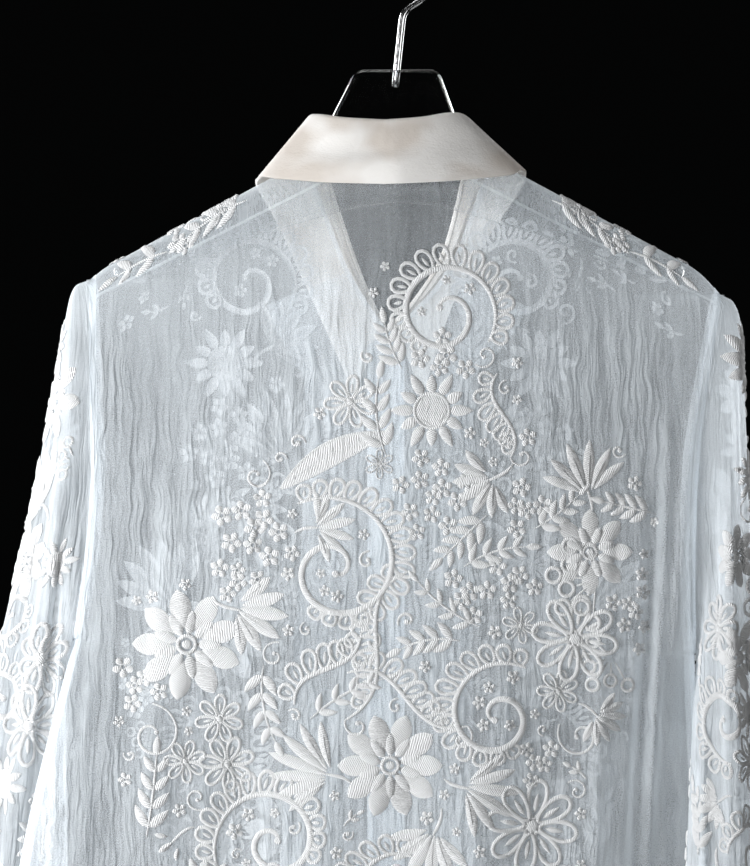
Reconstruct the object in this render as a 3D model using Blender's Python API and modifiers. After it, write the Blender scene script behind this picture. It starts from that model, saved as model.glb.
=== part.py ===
"""Sheer embroidered shirt with a turned-down collar, hanging on a clear plate hanger.

Metres, +Z up. The origin is the inner top of the hanger's hook, where it sits on a rail.
The front of the shirt faces -Y and the wearer's left is +X. Each cut piece of cloth is
one wall, made from a grid of points on the form of the hanging shirt.
"""
import math

import bmesh
import bpy
from mathutils import Vector
from mathutils.bvhtree import BVHTree

# Cloth
WALL = 0.0012             # panels and sleeves
COLLAR_WALL = 0.0018      # interfaced collar leaf
STAND_WALL = 0.0015
SEAM_HALF_GAP = 0.0006    # from a shoulder seam's middle to each piece's edge line
SIDE_HALF_GAP = 0.0011    # the same at the side seams, where the edges meet at an angle
ARMHOLE_GAP = 0.0016      # from the body's edge line to the sleeve's
FACING_OFFSET = 0.0015    # from a front panel's middle to its facing's middle
LAP_OFFSET = 0.0033       # how far the under front lies behind the upper one

# Rows and columns of the panels' grids
BACK_COLUMNS, BACK_ROWS = 28, 18
FRONT_COLUMNS = 15
NECK_ROWS, LOWER_ROWS = 7, 11
SLEEVE_POINTS, SLEEVE_RINGS = 20, 15

# Form of the hanging shirt
HEM_Z = -0.810
NECK_POINT_X = 0.064
RIDGE_RADIUS = 0.0055     # cloth bent over the hanger's arm
FULLNESS = 0.036          # half depth that the body reaches below the shoulders
FULLNESS_DROP = 0.070     # distance below the ridge in which it opens
ARMHOLE_DROP = 0.236
ARMHOLE_HALF_DEPTH = 0.022
CENTRE_X = 0.0085         # middle of the front closing

# Front closing
RIGHT_FRONT_REACH = 0.021
LEFT_FRONT_REACH = -0.004
BUTTON_RADIUS = 0.005
BUTTON_THICKNESS = 0.0022
BUTTON_FIRST_Z = -0.262
BUTTON_SPACING = 0.100
BUTTON_COUNT = 5

# Hanger
PLATE_THICKNESS = 0.007
PLATE_BEVEL = 0.0026
PLATE_REST = 0.0013       # from the cloth's ridge line to the arm's top edge
ARM_REACH = 0.186
WIRE_RADIUS = 0.00225
BORE_RADIUS = 0.00255
HOOK_RADIUS = 0.02025     # to the middle of the wire
ROD_FOOT = (0.0026, 0.0, -0.0865)
ROD_TOP = (-0.0022, 0.0, -0.0420)

# Embroidery
STITCH_LIFT = 0.0016      # from a panel's middle to a motif's underside
STITCH_HEIGHT = 0.0010


def smooth(value):
    """Ease from 0 to 1 as value goes from 0 to 1."""
    value = min(1.0, max(0.0, value))
    return value * value * (3.0 - 2.0 * value)


class Table:
    """Rows of numbers under named columns, read smoothly between the rows."""

    def __init__(self, names, rows):
        self.names = names.split()
        self.rows = rows

    def at(self, key, name):
        """Value of a column where the first column has the value key."""
        column = self.names.index(name)
        keys = [row[0] for row in self.rows]
        values = [row[column] for row in self.rows]
        if key <= keys[0]:
            return values[0]
        if key >= keys[-1]:
            return values[-1]
        low = max(i for i, k in enumerate(keys) if k <= key)
        span = keys[low + 1] - keys[low]
        t = (key - keys[low]) / span

        def slope(i):
            before, after = max(0, i - 1), min(len(keys) - 1, i + 1)
            return (values[after] - values[before]) / (keys[after] - keys[before])

        t2, t3 = t * t, t * t * t
        return ((2 * t3 - 3 * t2 + 1) * values[low]
                + (t3 - 2 * t2 + t) * span * slope(low)
                + (3 * t2 - 2 * t3) * values[low + 1]
                + (t3 - t2) * span * slope(low + 1))


# Half widths of the body and how far each side edge has swung to the back (+) or front (-)
BODY = Table("fall left right left_swing right_swing", (
    (0.2139, 0.2035, 0.2120, 0.000, 0.000),
    (0.2239, 0.2034, 0.2120, 0.000, 0.000),
    (0.260, 0.2030, 0.2060, 0.000, 0.000),
    (0.300, 0.2020, 0.1995, 0.000, 0.000),
    (0.345, 0.2015, 0.1950, 0.000, 0.000),
    (0.400, 0.2060, 0.1935, 0.000, 0.000),
    (0.450, 0.2140, 0.1945, 0.002, -0.002),
    (0.500, 0.2260, 0.1970, 0.014, -0.012),
    (0.550, 0.2380, 0.2000, 0.020, -0.016),
    (0.600, 0.2480, 0.2040, 0.022, -0.018),
    (0.700, 0.2600, 0.2110, 0.022, -0.018),
    (0.810, 0.2680, 0.2170, 0.022, -0.018)))

# Front neckline edges, down from the neck point to the closing
LEFT_NECK = Table("fall x", (
    (0.1353, 0.0640), (0.1425, 0.0585), (0.1560, 0.0525), (0.1750, 0.0455), (0.1960, 0.0375),
    (0.2135, 0.0290), (0.2290, 0.0195), (0.2440, 0.0085), (0.2560, LEFT_FRONT_REACH)))
RIGHT_NECK = Table("fall x", (
    (0.1353, -0.0640), (0.1425, -0.0585), (0.1560, -0.0525), (0.1750, -0.0455), (0.1960, -0.0375),
    (0.2135, -0.0265), (0.2310, -0.0110), (0.2445, 0.0050), (0.2560, RIGHT_FRONT_REACH)))

# Large soft folds: where each starts and ends, its half width and its height
FOLD_COLUMNS = "x_top z_top x_bottom z_bottom half_width height".split()
BACK_FOLDS = (
    (-0.192, -0.240, -0.164, -0.620, 0.0130, 0.0070),
    (-0.172, -0.270, -0.142, -0.810, 0.0140, -0.0050),
    (-0.152, -0.320, -0.116, -0.810, 0.0150, 0.0045),
    (-0.095, -0.430, -0.084, -0.810, 0.0170, -0.0040),
    (-0.050, -0.480, -0.046, -0.810, 0.0160, 0.0050),
    (-0.005, -0.440, 0.000, -0.810, 0.0170, -0.0040),
    (0.045, -0.500, 0.055, -0.810, 0.0160, 0.0055),
    (0.095, -0.420, 0.112, -0.810, 0.0170, -0.0045),
    (0.150, -0.330, 0.176, -0.810, 0.0160, 0.0050),
    (0.178, -0.260, 0.222, -0.810, 0.0150, 0.0060))
FRONT_FOLDS = (
    (-0.180, -0.260, -0.160, -0.810, 0.0150, 0.0060),
    (-0.140, -0.300, -0.122, -0.810, 0.0160, -0.0045),
    (-0.095, -0.360, -0.085, -0.810, 0.0160, 0.0055),
    (-0.055, -0.450, -0.050, -0.810, 0.0150, -0.0035),
    (0.075, -0.430, 0.080, -0.810, 0.0150, -0.0035),
    (0.110, -0.340, 0.122, -0.810, 0.0160, 0.0055),
    (0.150, -0.290, 0.170, -0.810, 0.0160, -0.0045),
    (0.182, -0.260, 0.215, -0.810, 0.0150, 0.0060))

# Sleeve sections from the armhole to the sleeve hem, for one side: the outer and inner
# point of each ring in the front view, the ring's middle in Y and its half depth
LEFT_SLEEVE = Table("t outer_x outer_z inner_x inner_z centre_y half_depth", (
    (0.00, 0.2035, -0.2139, 0.2140, -0.4499, 0.000, 0.0220),
    (0.05, 0.2125, -0.2185, 0.2165, -0.4560, 0.000, 0.0235),
    (0.12, 0.2185, -0.2350, 0.2190, -0.4660, -0.002, 0.0260),
    (0.25, 0.2290, -0.2900, 0.2210, -0.4900, -0.010, 0.0280),
    (0.40, 0.2450, -0.3700, 0.2220, -0.5300, -0.020, 0.0280),
    (0.60, 0.2700, -0.4800, 0.2220, -0.6000, -0.032, 0.0270),
    (0.80, 0.2900, -0.6100, 0.2230, -0.6900, -0.036, 0.0270),
    (1.00, 0.3030, -0.7750, 0.2280, -0.7750, -0.038, 0.0280)))
RIGHT_SLEEVE = Table("t outer_x outer_z inner_x inner_z centre_y half_depth", (
    (0.00, -0.2120, -0.2239, -0.1946, -0.4599, 0.000, 0.0220),
    (0.05, -0.2195, -0.2290, -0.1985, -0.4670, 0.000, 0.0235),
    (0.12, -0.2245, -0.2450, -0.2000, -0.4770, 0.002, 0.0260),
    (0.25, -0.2265, -0.3000, -0.1990, -0.5000, 0.010, 0.0290),
    (0.40, -0.2290, -0.3800, -0.1960, -0.5400, 0.020, 0.0310),
    (0.60, -0.2350, -0.4900, -0.1900, -0.6100, 0.030, 0.0320),
    (0.80, -0.2400, -0.6200, -0.1860, -0.7000, 0.040, 0.0310),
    (1.00, -0.2430, -0.7850, -0.1840, -0.7850, 0.040, 0.0320)))

# Collar from the middle of the back (u 0) to its front end (u 1): where it is sewn on,
# its fold line, its outer edge and that edge's height above the panel below
COLLAR_COLUMNS = "u neck_x fold_x fold_y fold_z edge_x edge_z lift"
LEFT_COLLAR = Table(COLLAR_COLUMNS, (
    (0.0, 0.0000, 0.0090, 0.0215, -0.1125, 0.0080, -0.1515, 0.0080),
    (0.2, 0.0280, 0.0340, 0.0195, -0.1105, 0.0470, -0.1505, 0.0080),
    (0.4, 0.0520, 0.0540, 0.0110, -0.1080, 0.0820, -0.1490, 0.0060),
    (0.5, 0.0640, 0.0575, 0.0000, -0.1100, 0.0930, -0.1509, 0.0040),
    (0.6, 0.0595, 0.0560, -0.0110, -0.1220, 0.0905, -0.1580, 0.0035),
    (0.7, 0.0525, 0.0468, -0.0175, -0.1500, 0.0800, -0.1760, 0.0035),
    (0.8, 0.0385, 0.0320, -0.0290, -0.1950, 0.0690, -0.2000, 0.0035),
    (0.9, 0.0240, 0.0190, -0.0330, -0.2270, 0.0540, -0.2330, 0.0035),
    (1.0, 0.0100, 0.0105, -0.0340, -0.2425, 0.0290, -0.2895, 0.0040)))
RIGHT_COLLAR = Table(COLLAR_COLUMNS, (
    (0.0, 0.0000, 0.0090, 0.0215, -0.1125, 0.0080, -0.1515, 0.0080),
    (0.2, -0.0280, -0.0150, 0.0195, -0.1105, -0.0320, -0.1495, 0.0080),
    (0.4, -0.0520, -0.0380, 0.0110, -0.1075, -0.0690, -0.1470, 0.0060),
    (0.5, -0.0640, -0.0465, 0.0000, -0.1130, -0.0825, -0.1453, 0.0040),
    (0.6, -0.0595, -0.0470, -0.0110, -0.1240, -0.0790, -0.1560, 0.0035),
    (0.7, -0.0525, -0.0425, -0.0175, -0.1500, -0.0650, -0.1760, 0.0035),
    (0.8, -0.0385, -0.0310, -0.0290, -0.1950, -0.0500, -0.2010, 0.0035),
    (0.9, -0.0180, -0.0120, -0.0330, -0.2260, -0.0340, -0.2340, 0.0035),
    (1.0, 0.0040, 0.0030, -0.0340, -0.2425, -0.0160, -0.2895, 0.0040)))
STAND_END = 0.90
BACK_ROLL, FRONT_ROLL = 0.0030, 0.0017    # radius of the fold behind and in front
FLAT_FROM = 0.70          # u from which the leaf lies flat on the front panels

# Plate outline above the collar: half widths to the left and right at each height
PLATE_NECK = ((-0.0750, 0.0285, -0.0265), (-0.1040, 0.0435, -0.0368), (-0.1290, 0.0530, -0.0465))
# Lower edge of the plate, from the end of one arm to the end of the other
PLATE_UNDERSIDE = ((0.150, -0.2080), (0.090, -0.1830), (0.030, -0.1660), (0.000, -0.1620))

# Largest stitched flowers on the back: name, x, z, radius, petals, petal depth
BACK_FLOWERS = (
    ("flower_top", -0.021, -0.300, 0.027, 12, 0.42),
    ("flower_side_upper", -0.124, -0.392, 0.026, 8, 0.50),
    ("flower_side_lower", -0.114, -0.448, 0.026, 8, 0.50),
    ("flower_left", 0.138, -0.452, 0.034, 9, 0.40),
    ("flower_middle", 0.006, -0.530, 0.032, 10, 0.42),
    ("flower_low", -0.086, -0.570, 0.028, 8, 0.45))
# Largest stitched scrolls on the back: centre, start and end radius, start angle, turn
BACK_SCROLLS = (
    ("scroll_top", -0.030, -0.236, 0.034, 0.022, 215.0, -310.0),
    ("scroll_middle", 0.042, -0.402, 0.048, 0.018, 60.0, 330.0),
    ("scroll_low", -0.064, -0.498, 0.036, 0.016, 120.0, -300.0),
    ("scroll_left", 0.082, -0.580, 0.040, 0.016, -30.0, 320.0))
SCROLL_WIDTH = 0.0042


def ridge_z(x):
    """Height of the shoulder ridge, where the cloth turns over the hanger's arm."""
    return -0.1466 - (abs(x) - 0.085) * 0.54 - 18.0 * max(abs(x) - 0.19, 0.0) ** 2


def side_name(side):
    return "left" if side > 0 else "right"


def side_x(side, z):
    """X of a body side edge at height z."""
    return side * BODY.at(-z, side_name(side))


def side_swing(side, z):
    return BODY.at(-z, side_name(side) + "_swing")


def side_top_x(side):
    return side * BODY.rows[0][1 if side > 0 else 2]


def armhole_half_depth(side, z):
    """Half opening between the front and back edge at a side: armhole above, seam below."""
    down = (ridge_z(side_top_x(side)) - z) / ARMHOLE_DROP
    if down <= 0.0:
        return 0.0
    if down >= 1.0:
        return SIDE_HALF_GAP
    opening = ARMHOLE_HALF_DEPTH * (1.0 - abs(2.0 * down - 1.0) ** 2.5) ** 0.4
    return opening if down < 0.5 else max(SIDE_HALF_GAP, opening)


def folds(x, z, face):
    """Sum of the large folds of one face at a point."""
    total = 0.0
    for row in (BACK_FOLDS if face > 0 else FRONT_FOLDS):
        fold = dict(zip(FOLD_COLUMNS, row))
        along = (fold["z_top"] - z) / (fold["z_top"] - fold["z_bottom"])
        if along <= 0.0 or along > 1.0:
            continue
        middle = fold["x_top"] + (fold["x_bottom"] - fold["x_top"]) * along
        across = (x - middle) / fold["half_width"]
        ending = 1.0 if fold["z_bottom"] <= HEM_Z else smooth((1.0 - along) / 0.35)
        total += fold["height"] * math.exp(-across * across) * smooth(along / 0.35) * ending
    return total


def surface_y(x, z, face):
    """Middle of the cloth at a point of the back (face 1) or the front (face -1)."""
    side = 1 if x >= CENTRE_X else -1
    out = min(1.0, abs(x - CENTRE_X) / abs(side_x(side, z) - CENTRE_X))
    below = max(0.0, ridge_z(x) - z)
    bend = RIDGE_RADIUS * math.sqrt(1.0 - (1.0 - min(1.0, below / RIDGE_RADIUS)) ** 2)
    fill = FULLNESS * (1.0 - 0.45 * (x / 0.2) ** 2) * (1.0 - math.exp(-below / FULLNESS_DROP))
    flare = 0.008 * smooth((z + 0.45) / (HEM_Z + 0.45))
    closing = math.sqrt(1.0 - out ** 4)
    bend *= math.sqrt(1.0 - out ** 24)
    edge = armhole_half_depth(side, z)
    half = edge * (1.0 - closing) + bend + (fill + flare) * closing
    swing = side_swing(side, z) * smooth((out - 0.3) / 0.7)
    return swing + face * (half + folds(x, z, face) * closing)


def cover(x, z, face, lift=0.0):
    """Point on a face of the shirt, moved out from it by lift."""
    here = Vector((x, surface_y(x, z, face), z))
    if lift == 0.0:
        return here
    step = 0.0015
    slope_x = (surface_y(x + step, z, face) - surface_y(x - step, z, face)) / (2 * step)
    slope_z = (surface_y(x, z + step, face) - surface_y(x, z - step, face)) / (2 * step)
    outward = Vector((-slope_x, 1.0, -slope_z)).normalized() * face
    return here + outward * lift


def material(name, colour, roughness, metallic=0.0, alpha=1.0):
    """A Principled material with one colour."""
    made = bpy.data.materials.new(name)
    made.use_nodes = True
    shader = made.node_tree.nodes["Principled BSDF"]
    shader.inputs["Base Color"].default_value = (*colour, 1.0)
    shader.inputs["Roughness"].default_value = roughness
    shader.inputs["Metallic"].default_value = metallic
    shader.inputs["Alpha"].default_value = alpha
    made.diffuse_color = (*colour, 1.0)
    return made


def keep(obj, look, collection, parent):
    """File an object under the shirt's collection and parent, with its material."""
    for old in list(obj.users_collection):
        old.objects.unlink(obj)
    collection.objects.link(obj)
    obj.data.materials.clear()
    obj.data.materials.append(look)
    obj.parent = parent
    return obj


def grid_mesh(name, rows, around=False):
    """Mesh of four-sided faces through rows of points; around closes each row to a ring."""
    mesh = bpy.data.meshes.new(name)
    work = bmesh.new()
    verts = [[work.verts.new(point) for point in row] for row in rows]
    for upper, lower in zip(verts, verts[1:]):
        count = len(upper)
        for i in range(count if around else count - 1):
            j = (i + 1) % count
            work.faces.new((upper[i], upper[j], lower[j], lower[i]))
    work.to_mesh(mesh)
    work.free()
    mesh.shade_smooth()
    return mesh


def cloth(name, rows, wall, around=False):
    """A piece of cloth: an open sheet through rows of points, given its thickness."""
    obj = bpy.data.objects.new(name, grid_mesh(name, rows, around))
    bpy.context.scene.collection.objects.link(obj)
    thick = obj.modifiers.new("thickness", "SOLIDIFY")
    thick.thickness = wall
    thick.offset = 0.0
    return obj


def moved(rows, distance):
    """The same rows of points, each moved along the grid's own normal."""
    result = []
    for i, row in enumerate(rows):
        above, below = rows[max(0, i - 1)], rows[min(len(rows) - 1, i + 1)]
        line = []
        for j, point in enumerate(row):
            across = row[min(len(row) - 1, j + 1)] - row[max(0, j - 1)]
            normal = across.cross(below[j] - above[j]).normalized()
            line.append(point + normal * distance)
        result.append(line)
    return result


def falls(total):
    """Distances below the ridge for the rows of a panel: the bend, the neck, the rest."""
    bend = [0.0, 0.0009, 0.0030, 0.0058]
    neck = [0.18 * (i + 1) / NECK_ROWS for i in range(NECK_ROWS)]
    rest = [0.18 + 0.82 * ((i + 1) / LOWER_ROWS) ** 1.08 for i in range(LOWER_ROWS)]
    return bend + [bend[-1] + (total - bend[-1]) * share for share in neck + rest]


def back_top_z(x):
    """Top edge of the back: the neckline, then the shoulder seams behind the ridge."""
    if abs(x) <= 0.028:
        return -0.1400 + 0.0047 * (x / NECK_POINT_X) ** 2
    return -0.1390 - (abs(x) - 0.028) * 0.505


def back_rows():
    """Rows of the back panel from its top edge to the hem."""
    width = side_top_x(1) - side_top_x(-1)
    top = [side_top_x(-1) + width * i / BACK_COLUMNS for i in range(BACK_COLUMNS + 1)]
    rows = []
    for step in range(BACK_ROWS + 1):
        share = (step / BACK_ROWS) ** 1.1
        row = []
        for x_top in top:
            side = 1 if x_top >= CENTRE_X else -1
            z_top = back_top_z(x_top) - SEAM_HALF_GAP
            z = z_top + (HEM_Z - z_top) * share
            out = (x_top - CENTRE_X) / (side_top_x(side) - CENTRE_X)
            spread = max(0.0, (out - 0.3) / 0.7) ** 1.5
            x = x_top + (side_x(side, z) - side_top_x(side)) * spread
            row.append(cover(x, z, 1))
        rows.append(row)
    return rows


def front_rows(side, neck, reach):
    """Rows of a front panel: from the seam behind the shoulder, over the ridge, to the hem."""
    width = abs(side_top_x(side)) - NECK_POINT_X
    shares = [i / FRONT_COLUMNS for i in range(FRONT_COLUMNS + 1)]
    ridge_x = [side * (NECK_POINT_X + width * share) for share in shares]
    seam_x = [side * (0.028 + (abs(side_top_x(side)) - 0.028) * share) for share in shares]
    rows = []
    for over in (1.0, 0.5, 0.25, 0.12, 0.03):
        row = []
        for share, x_ridge, x_seam in zip(shares, ridge_x, seam_x):
            z_seam = back_top_z(x_seam) + SEAM_HALF_GAP
            z = ridge_z(x_ridge) + (z_seam - ridge_z(x_ridge)) * over
            x = x_ridge + (x_seam - x_ridge) * over
            x += (side_x(side, z) - side_top_x(side)) * share ** 8
            row.append(cover(x, z, 1))
        rows.append(row)
    totals = [ridge_z(x) - HEM_Z for x in ridge_x]
    inner_falls = falls(totals[0])
    outer_falls = falls(totals[-1])
    for step in range(len(inner_falls)):
        inner_z = ridge_z(ridge_x[0]) - inner_falls[step]
        outer_z = ridge_z(ridge_x[-1]) - outer_falls[step]
        inner_x = neck.at(-inner_z, "x") if inner_z > -0.256 else reach
        outer_x = side_x(side, outer_z)
        row = []
        for share, x_ridge, total in zip(shares, ridge_x, totals):
            z = ridge_z(x_ridge) - falls(total)[step]
            x = inner_x + (outer_x - inner_x) * share
            point = cover(x, z, -1)
            if side > 0:
                point.y += LAP_OFFSET * smooth((0.050 - x) / 0.020)
            row.append(point)
        rows.append(row)
    return rows


def facing_rows(panel_rows, side, columns=5, first=12):
    """Rows of a front facing: the panel's own points along its edge, moved inward."""
    inward = FACING_OFFSET * (1 if side > 0 else -1)
    strip = [row[:columns + 1] for row in moved(panel_rows, inward)]
    return strip[first:]


def armhole_point(side, angle, top, bottom):
    """Point of the armhole edge; angle 0 is the shoulder end and pi is the underarm."""
    z = (top + bottom) / 2 + (top - bottom) / 2 * math.cos(angle)
    half = armhole_half_depth(side, min(z, top))
    y = side_swing(side, z) + (half if math.sin(angle) >= 0 else -half)
    return Vector((side_x(side, z) + side * ARMHOLE_GAP, y, z))


def sleeve_rows(side, table):
    """Rings of a sleeve from the armhole to its open hem."""
    first = {name: table.at(0.0, name) for name in table.names}
    rows = []
    for step in range(SLEEVE_RINGS + 1):
        t = (step / SLEEVE_RINGS) ** 1.25
        at = {name: table.at(t, name) for name in table.names}
        middle = Vector(((at["outer_x"] + at["inner_x"]) / 2, at["centre_y"],
                         (at["outer_z"] + at["inner_z"]) / 2))
        arm = Vector((at["outer_x"], at["centre_y"], at["outer_z"])) - middle
        to_armhole = 1.0 - smooth(t / 0.2)
        ring = []
        for i in range(SLEEVE_POINTS):
            angle = 2 * math.pi * i / SLEEVE_POINTS
            point = middle + arm * math.cos(angle)
            point.y += at["half_depth"] * math.sin(angle)
            outward = (arm.normalized() * math.cos(angle) * at["half_depth"]
                       + Vector((0.0, arm.length * math.sin(angle), 0.0))).normalized()
            wave = 0.6 * math.sin(5 * angle + 0.6) + 0.4 * math.sin(8 * angle + 2.0)
            height = 0.005 * smooth(t / 0.3) * smooth((math.cos(angle) + 1.0) / 0.5)
            point += outward * wave * height
            start_middle_x = (first["outer_x"] + first["inner_x"]) / 2
            start_middle_z = (first["outer_z"] + first["inner_z"]) / 2
            start = Vector((
                start_middle_x + (first["outer_x"] - start_middle_x) * math.cos(angle),
                first["centre_y"] + first["half_depth"] * math.sin(angle),
                start_middle_z + (first["outer_z"] - start_middle_z) * math.cos(angle)))
            sewn = armhole_point(side, angle, first["outer_z"], first["inner_z"])
            ring.append(point + (sewn - start) * to_armhole)
        rows.append(ring)
    return rows


def collar_frame(side, table, u):
    """The points and directions that place one section of the collar."""
    at = {name: table.at(u, name) for name in table.names}
    flat = smooth((u - 0.6) / (FLAT_FROM - 0.6))
    radius = BACK_ROLL + (FRONT_ROLL - BACK_ROLL) * flat
    standing = Vector((at["fold_x"], at["fold_y"], at["fold_z"]))
    lying = cover(at["fold_x"], at["fold_z"], -1, FRONT_ROLL + 0.0006)
    fold = standing.lerp(lying, flat)
    if u < 0.5:
        edge = cover(at["edge_x"], at["edge_z"], 1, at["lift"])
    else:
        edge = cover(at["edge_x"], at["edge_z"], -1, at["lift"])
    rim = Vector((at["edge_x"], 0.0, ridge_z(at["edge_x"]) + at["lift"]))
    near_ridge = max(0.0, 1.0 - abs(u - 0.5) / 0.06)
    edge = edge.lerp(rim, smooth(near_ridge))
    along = (edge - fold).normalized()
    if u < 0.5:
        guide = Vector((0, 1, 0)).lerp(Vector((side, 0, 0.9)).normalized(), u / 0.5)
    else:
        guide = Vector((side, 0, 0.9)).normalized().lerp(Vector((0, -1, 0)), smooth((u - 0.5) / 0.2))
    outward = (guide - along * guide.dot(along)).normalized()
    return at, fold, edge, along, outward, radius, flat


def collar_section(side, table, u, fall_steps=5, roll_steps=4):
    """Points across the collar leaf: round the fold, then down to the outer edge."""
    at, fold, edge, along, outward, radius, flat = collar_frame(side, table, u)
    points = []
    for i in range(roll_steps + 1):
        turn = math.pi * i / roll_steps
        points.append(fold - outward * radius * math.cos(turn) - along * radius * math.sin(turn))
    start = points[-1]
    for i in range(1, fall_steps + 1):
        share = i / fall_steps
        bowed = start.lerp(edge, share) + outward * 0.0045 * math.sin(math.pi * share)
        x = start.x + (edge.x - start.x) * share
        z = start.z + (edge.z - start.z) * share
        laid = cover(x, z, -1, 0.0040 + 0.0006 * math.sin(math.pi * share))
        points.append(bowed.lerp(laid, flat))
    return points


def stand_section(side, table, u, neck_edge):
    """Points across the collar stand, from the neckline to just under the fold."""
    at, fold, edge, along, outward, radius, flat = collar_frame(side, table, u)
    foot = neck_edge(side, u, at)
    head = fold - outward * radius + along * 0.0010
    start = foot + (head - foot).normalized() * 0.0022
    bow = outward * -0.0008 * (1.0 - flat)
    return [start, start.lerp(head, 0.5) + bow, head]


def neck_edge(side, u, at):
    """Point of the panels' neck edge that the collar is sewn to."""
    if u <= 0.5:
        x = at["neck_x"]
        return cover(x, -0.1400 + 0.0047 * (x / NECK_POINT_X) ** 2, 1)
    neck = LEFT_NECK if side > 0 else RIGHT_NECK
    low, high = 0.1353, 0.2560
    for _ in range(30):
        middle = (low + high) / 2
        further = (neck.at(middle, "x") - at["neck_x"]) * side > 0
        low, high = (middle, high) if further else (low, middle)
    return cover(at["neck_x"], -low, -1)


def both_halves(section, end, count):
    """Sections along a whole collar piece, from the right front end to the left one."""
    steps = [end * i / count for i in range(count + 1)]
    right = [section(-1, RIGHT_COLLAR, u) for u in reversed(steps[1:])]
    left = [section(1, LEFT_COLLAR, u) for u in steps]
    return right + left


def button(name, z):
    """A flat button with a rim dish, lying on the closing."""
    half = BUTTON_THICKNESS / 2
    gap = 0.0003
    place = cover(CENTRE_X, z, -1, WALL / 2 + gap + half)
    outward = (place - cover(CENTRE_X, z, -1)).normalized()
    radius = BUTTON_RADIUS
    profile = ((0.0, half * 0.3), (radius * 0.62, half * 0.3), (radius * 0.74, half),
               (radius * 0.9, half), (radius, half * 0.3), (radius, -half * 0.4),
               (radius * 0.85, -half), (0.0, -half))
    mesh = bpy.data.meshes.new(name)
    work = bmesh.new()
    verts = [work.verts.new((x, 0.0, height)) for x, height in profile]
    for a, b in zip(verts, verts[1:]):
        work.edges.new((a, b))
    work.to_mesh(mesh)
    work.free()
    obj = bpy.data.objects.new(name, mesh)
    bpy.context.scene.collection.objects.link(obj)
    turn = obj.modifiers.new("turn", "SCREW")
    turn.steps = turn.render_steps = 14
    turn.use_merge_vertices = True
    turn.merge_threshold = 0.00002
    obj.location = place
    obj.rotation_mode = "QUATERNION"
    obj.rotation_quaternion = outward.to_track_quat("Z", "X")
    return obj


def plate_outline():
    """Outline of the hanger plate: neck, arms under the shoulder ridge, and underside."""
    left_neck = [(left, z) for z, left, right in PLATE_NECK]
    right_neck = [(right, z) for z, left, right in PLATE_NECK]
    arm = [0.072 + (ARM_REACH - 0.072) * i / 9 for i in range(10)]
    left_arm = [(x, ridge_z(x) - PLATE_REST) for x in arm]
    right_arm = [(-x, ridge_z(x) - PLATE_REST) for x in arm]
    tip = [(ARM_REACH + 0.003, ridge_z(ARM_REACH) - 0.008), (ARM_REACH - 0.002, ridge_z(ARM_REACH) - 0.014)]
    left_under = [(x, z) for x, z in tip] + list(PLATE_UNDERSIDE)
    right_under = [(-x, z) for x, z in reversed(left_under[:-1])]
    return left_neck + [(0.0600, -0.1385)] + left_arm + left_under + right_under \
        + list(reversed(right_arm)) + [(-0.0560, -0.1375)] + list(reversed(right_neck))


def mesh_object(curve_obj, name):
    """The same shape as a closed mesh, in place of the curve."""
    bpy.context.view_layer.update()
    evaluated = curve_obj.evaluated_get(bpy.context.evaluated_depsgraph_get())
    mesh = bpy.data.meshes.new_from_object(evaluated)
    work = bmesh.new()
    work.from_mesh(mesh)
    bmesh.ops.remove_doubles(work, verts=work.verts, dist=0.00001)
    work.to_mesh(mesh)
    work.free()
    obj = bpy.data.objects.new(name, mesh)
    obj.matrix_world = curve_obj.matrix_world
    bpy.context.scene.collection.objects.link(obj)
    bpy.data.objects.remove(curve_obj)
    return obj


def hanger_plate(cutters):
    """The clear plate with its bevelled edges and the bore for the rod."""
    data = bpy.data.curves.new("plate_outline", "CURVE")
    data.dimensions = "2D"
    data.fill_mode = "BOTH"
    data.extrude = PLATE_THICKNESS / 2
    line = data.splines.new("POLY")
    outline = plate_outline()
    line.points.add(len(outline) - 1)
    for point, (x, z) in zip(line.points, outline):
        point.co = (x, z, 0.0, 1.0)
    line.use_cyclic_u = True
    curve = bpy.data.objects.new("plate_outline", data)
    curve.rotation_euler = (math.pi / 2, 0.0, 0.0)
    bpy.context.scene.collection.objects.link(curve)
    plate = mesh_object(curve, "hanger_plate")

    edge = plate.modifiers.new("edge", "BEVEL")
    edge.width = PLATE_BEVEL
    edge.segments = 2
    edge.limit_method = "ANGLE"
    edge.angle_limit = math.radians(60)

    foot, top = Vector(ROD_FOOT), Vector(ROD_TOP)
    axis = (top - foot).normalized()
    low, high = foot - axis * 0.0005, foot + axis * 0.020
    bpy.ops.mesh.primitive_cylinder_add(vertices=24, radius=BORE_RADIUS, depth=(high - low).length,
                                        location=(low + high) / 2)
    bore = bpy.context.active_object
    bore.name = "rod_bore_cutter"
    bore.rotation_mode = "QUATERNION"
    bore.rotation_quaternion = axis.to_track_quat("Z", "Y")
    bore.hide_render = True
    bore.display_type = "WIRE"
    for old in list(bore.users_collection):
        old.objects.unlink(bore)
    cutters.objects.link(bore)
    cut = plate.modifiers.new("rod bore", "BOOLEAN")
    cut.object = bore
    cut.operation = "DIFFERENCE"
    return plate


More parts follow.
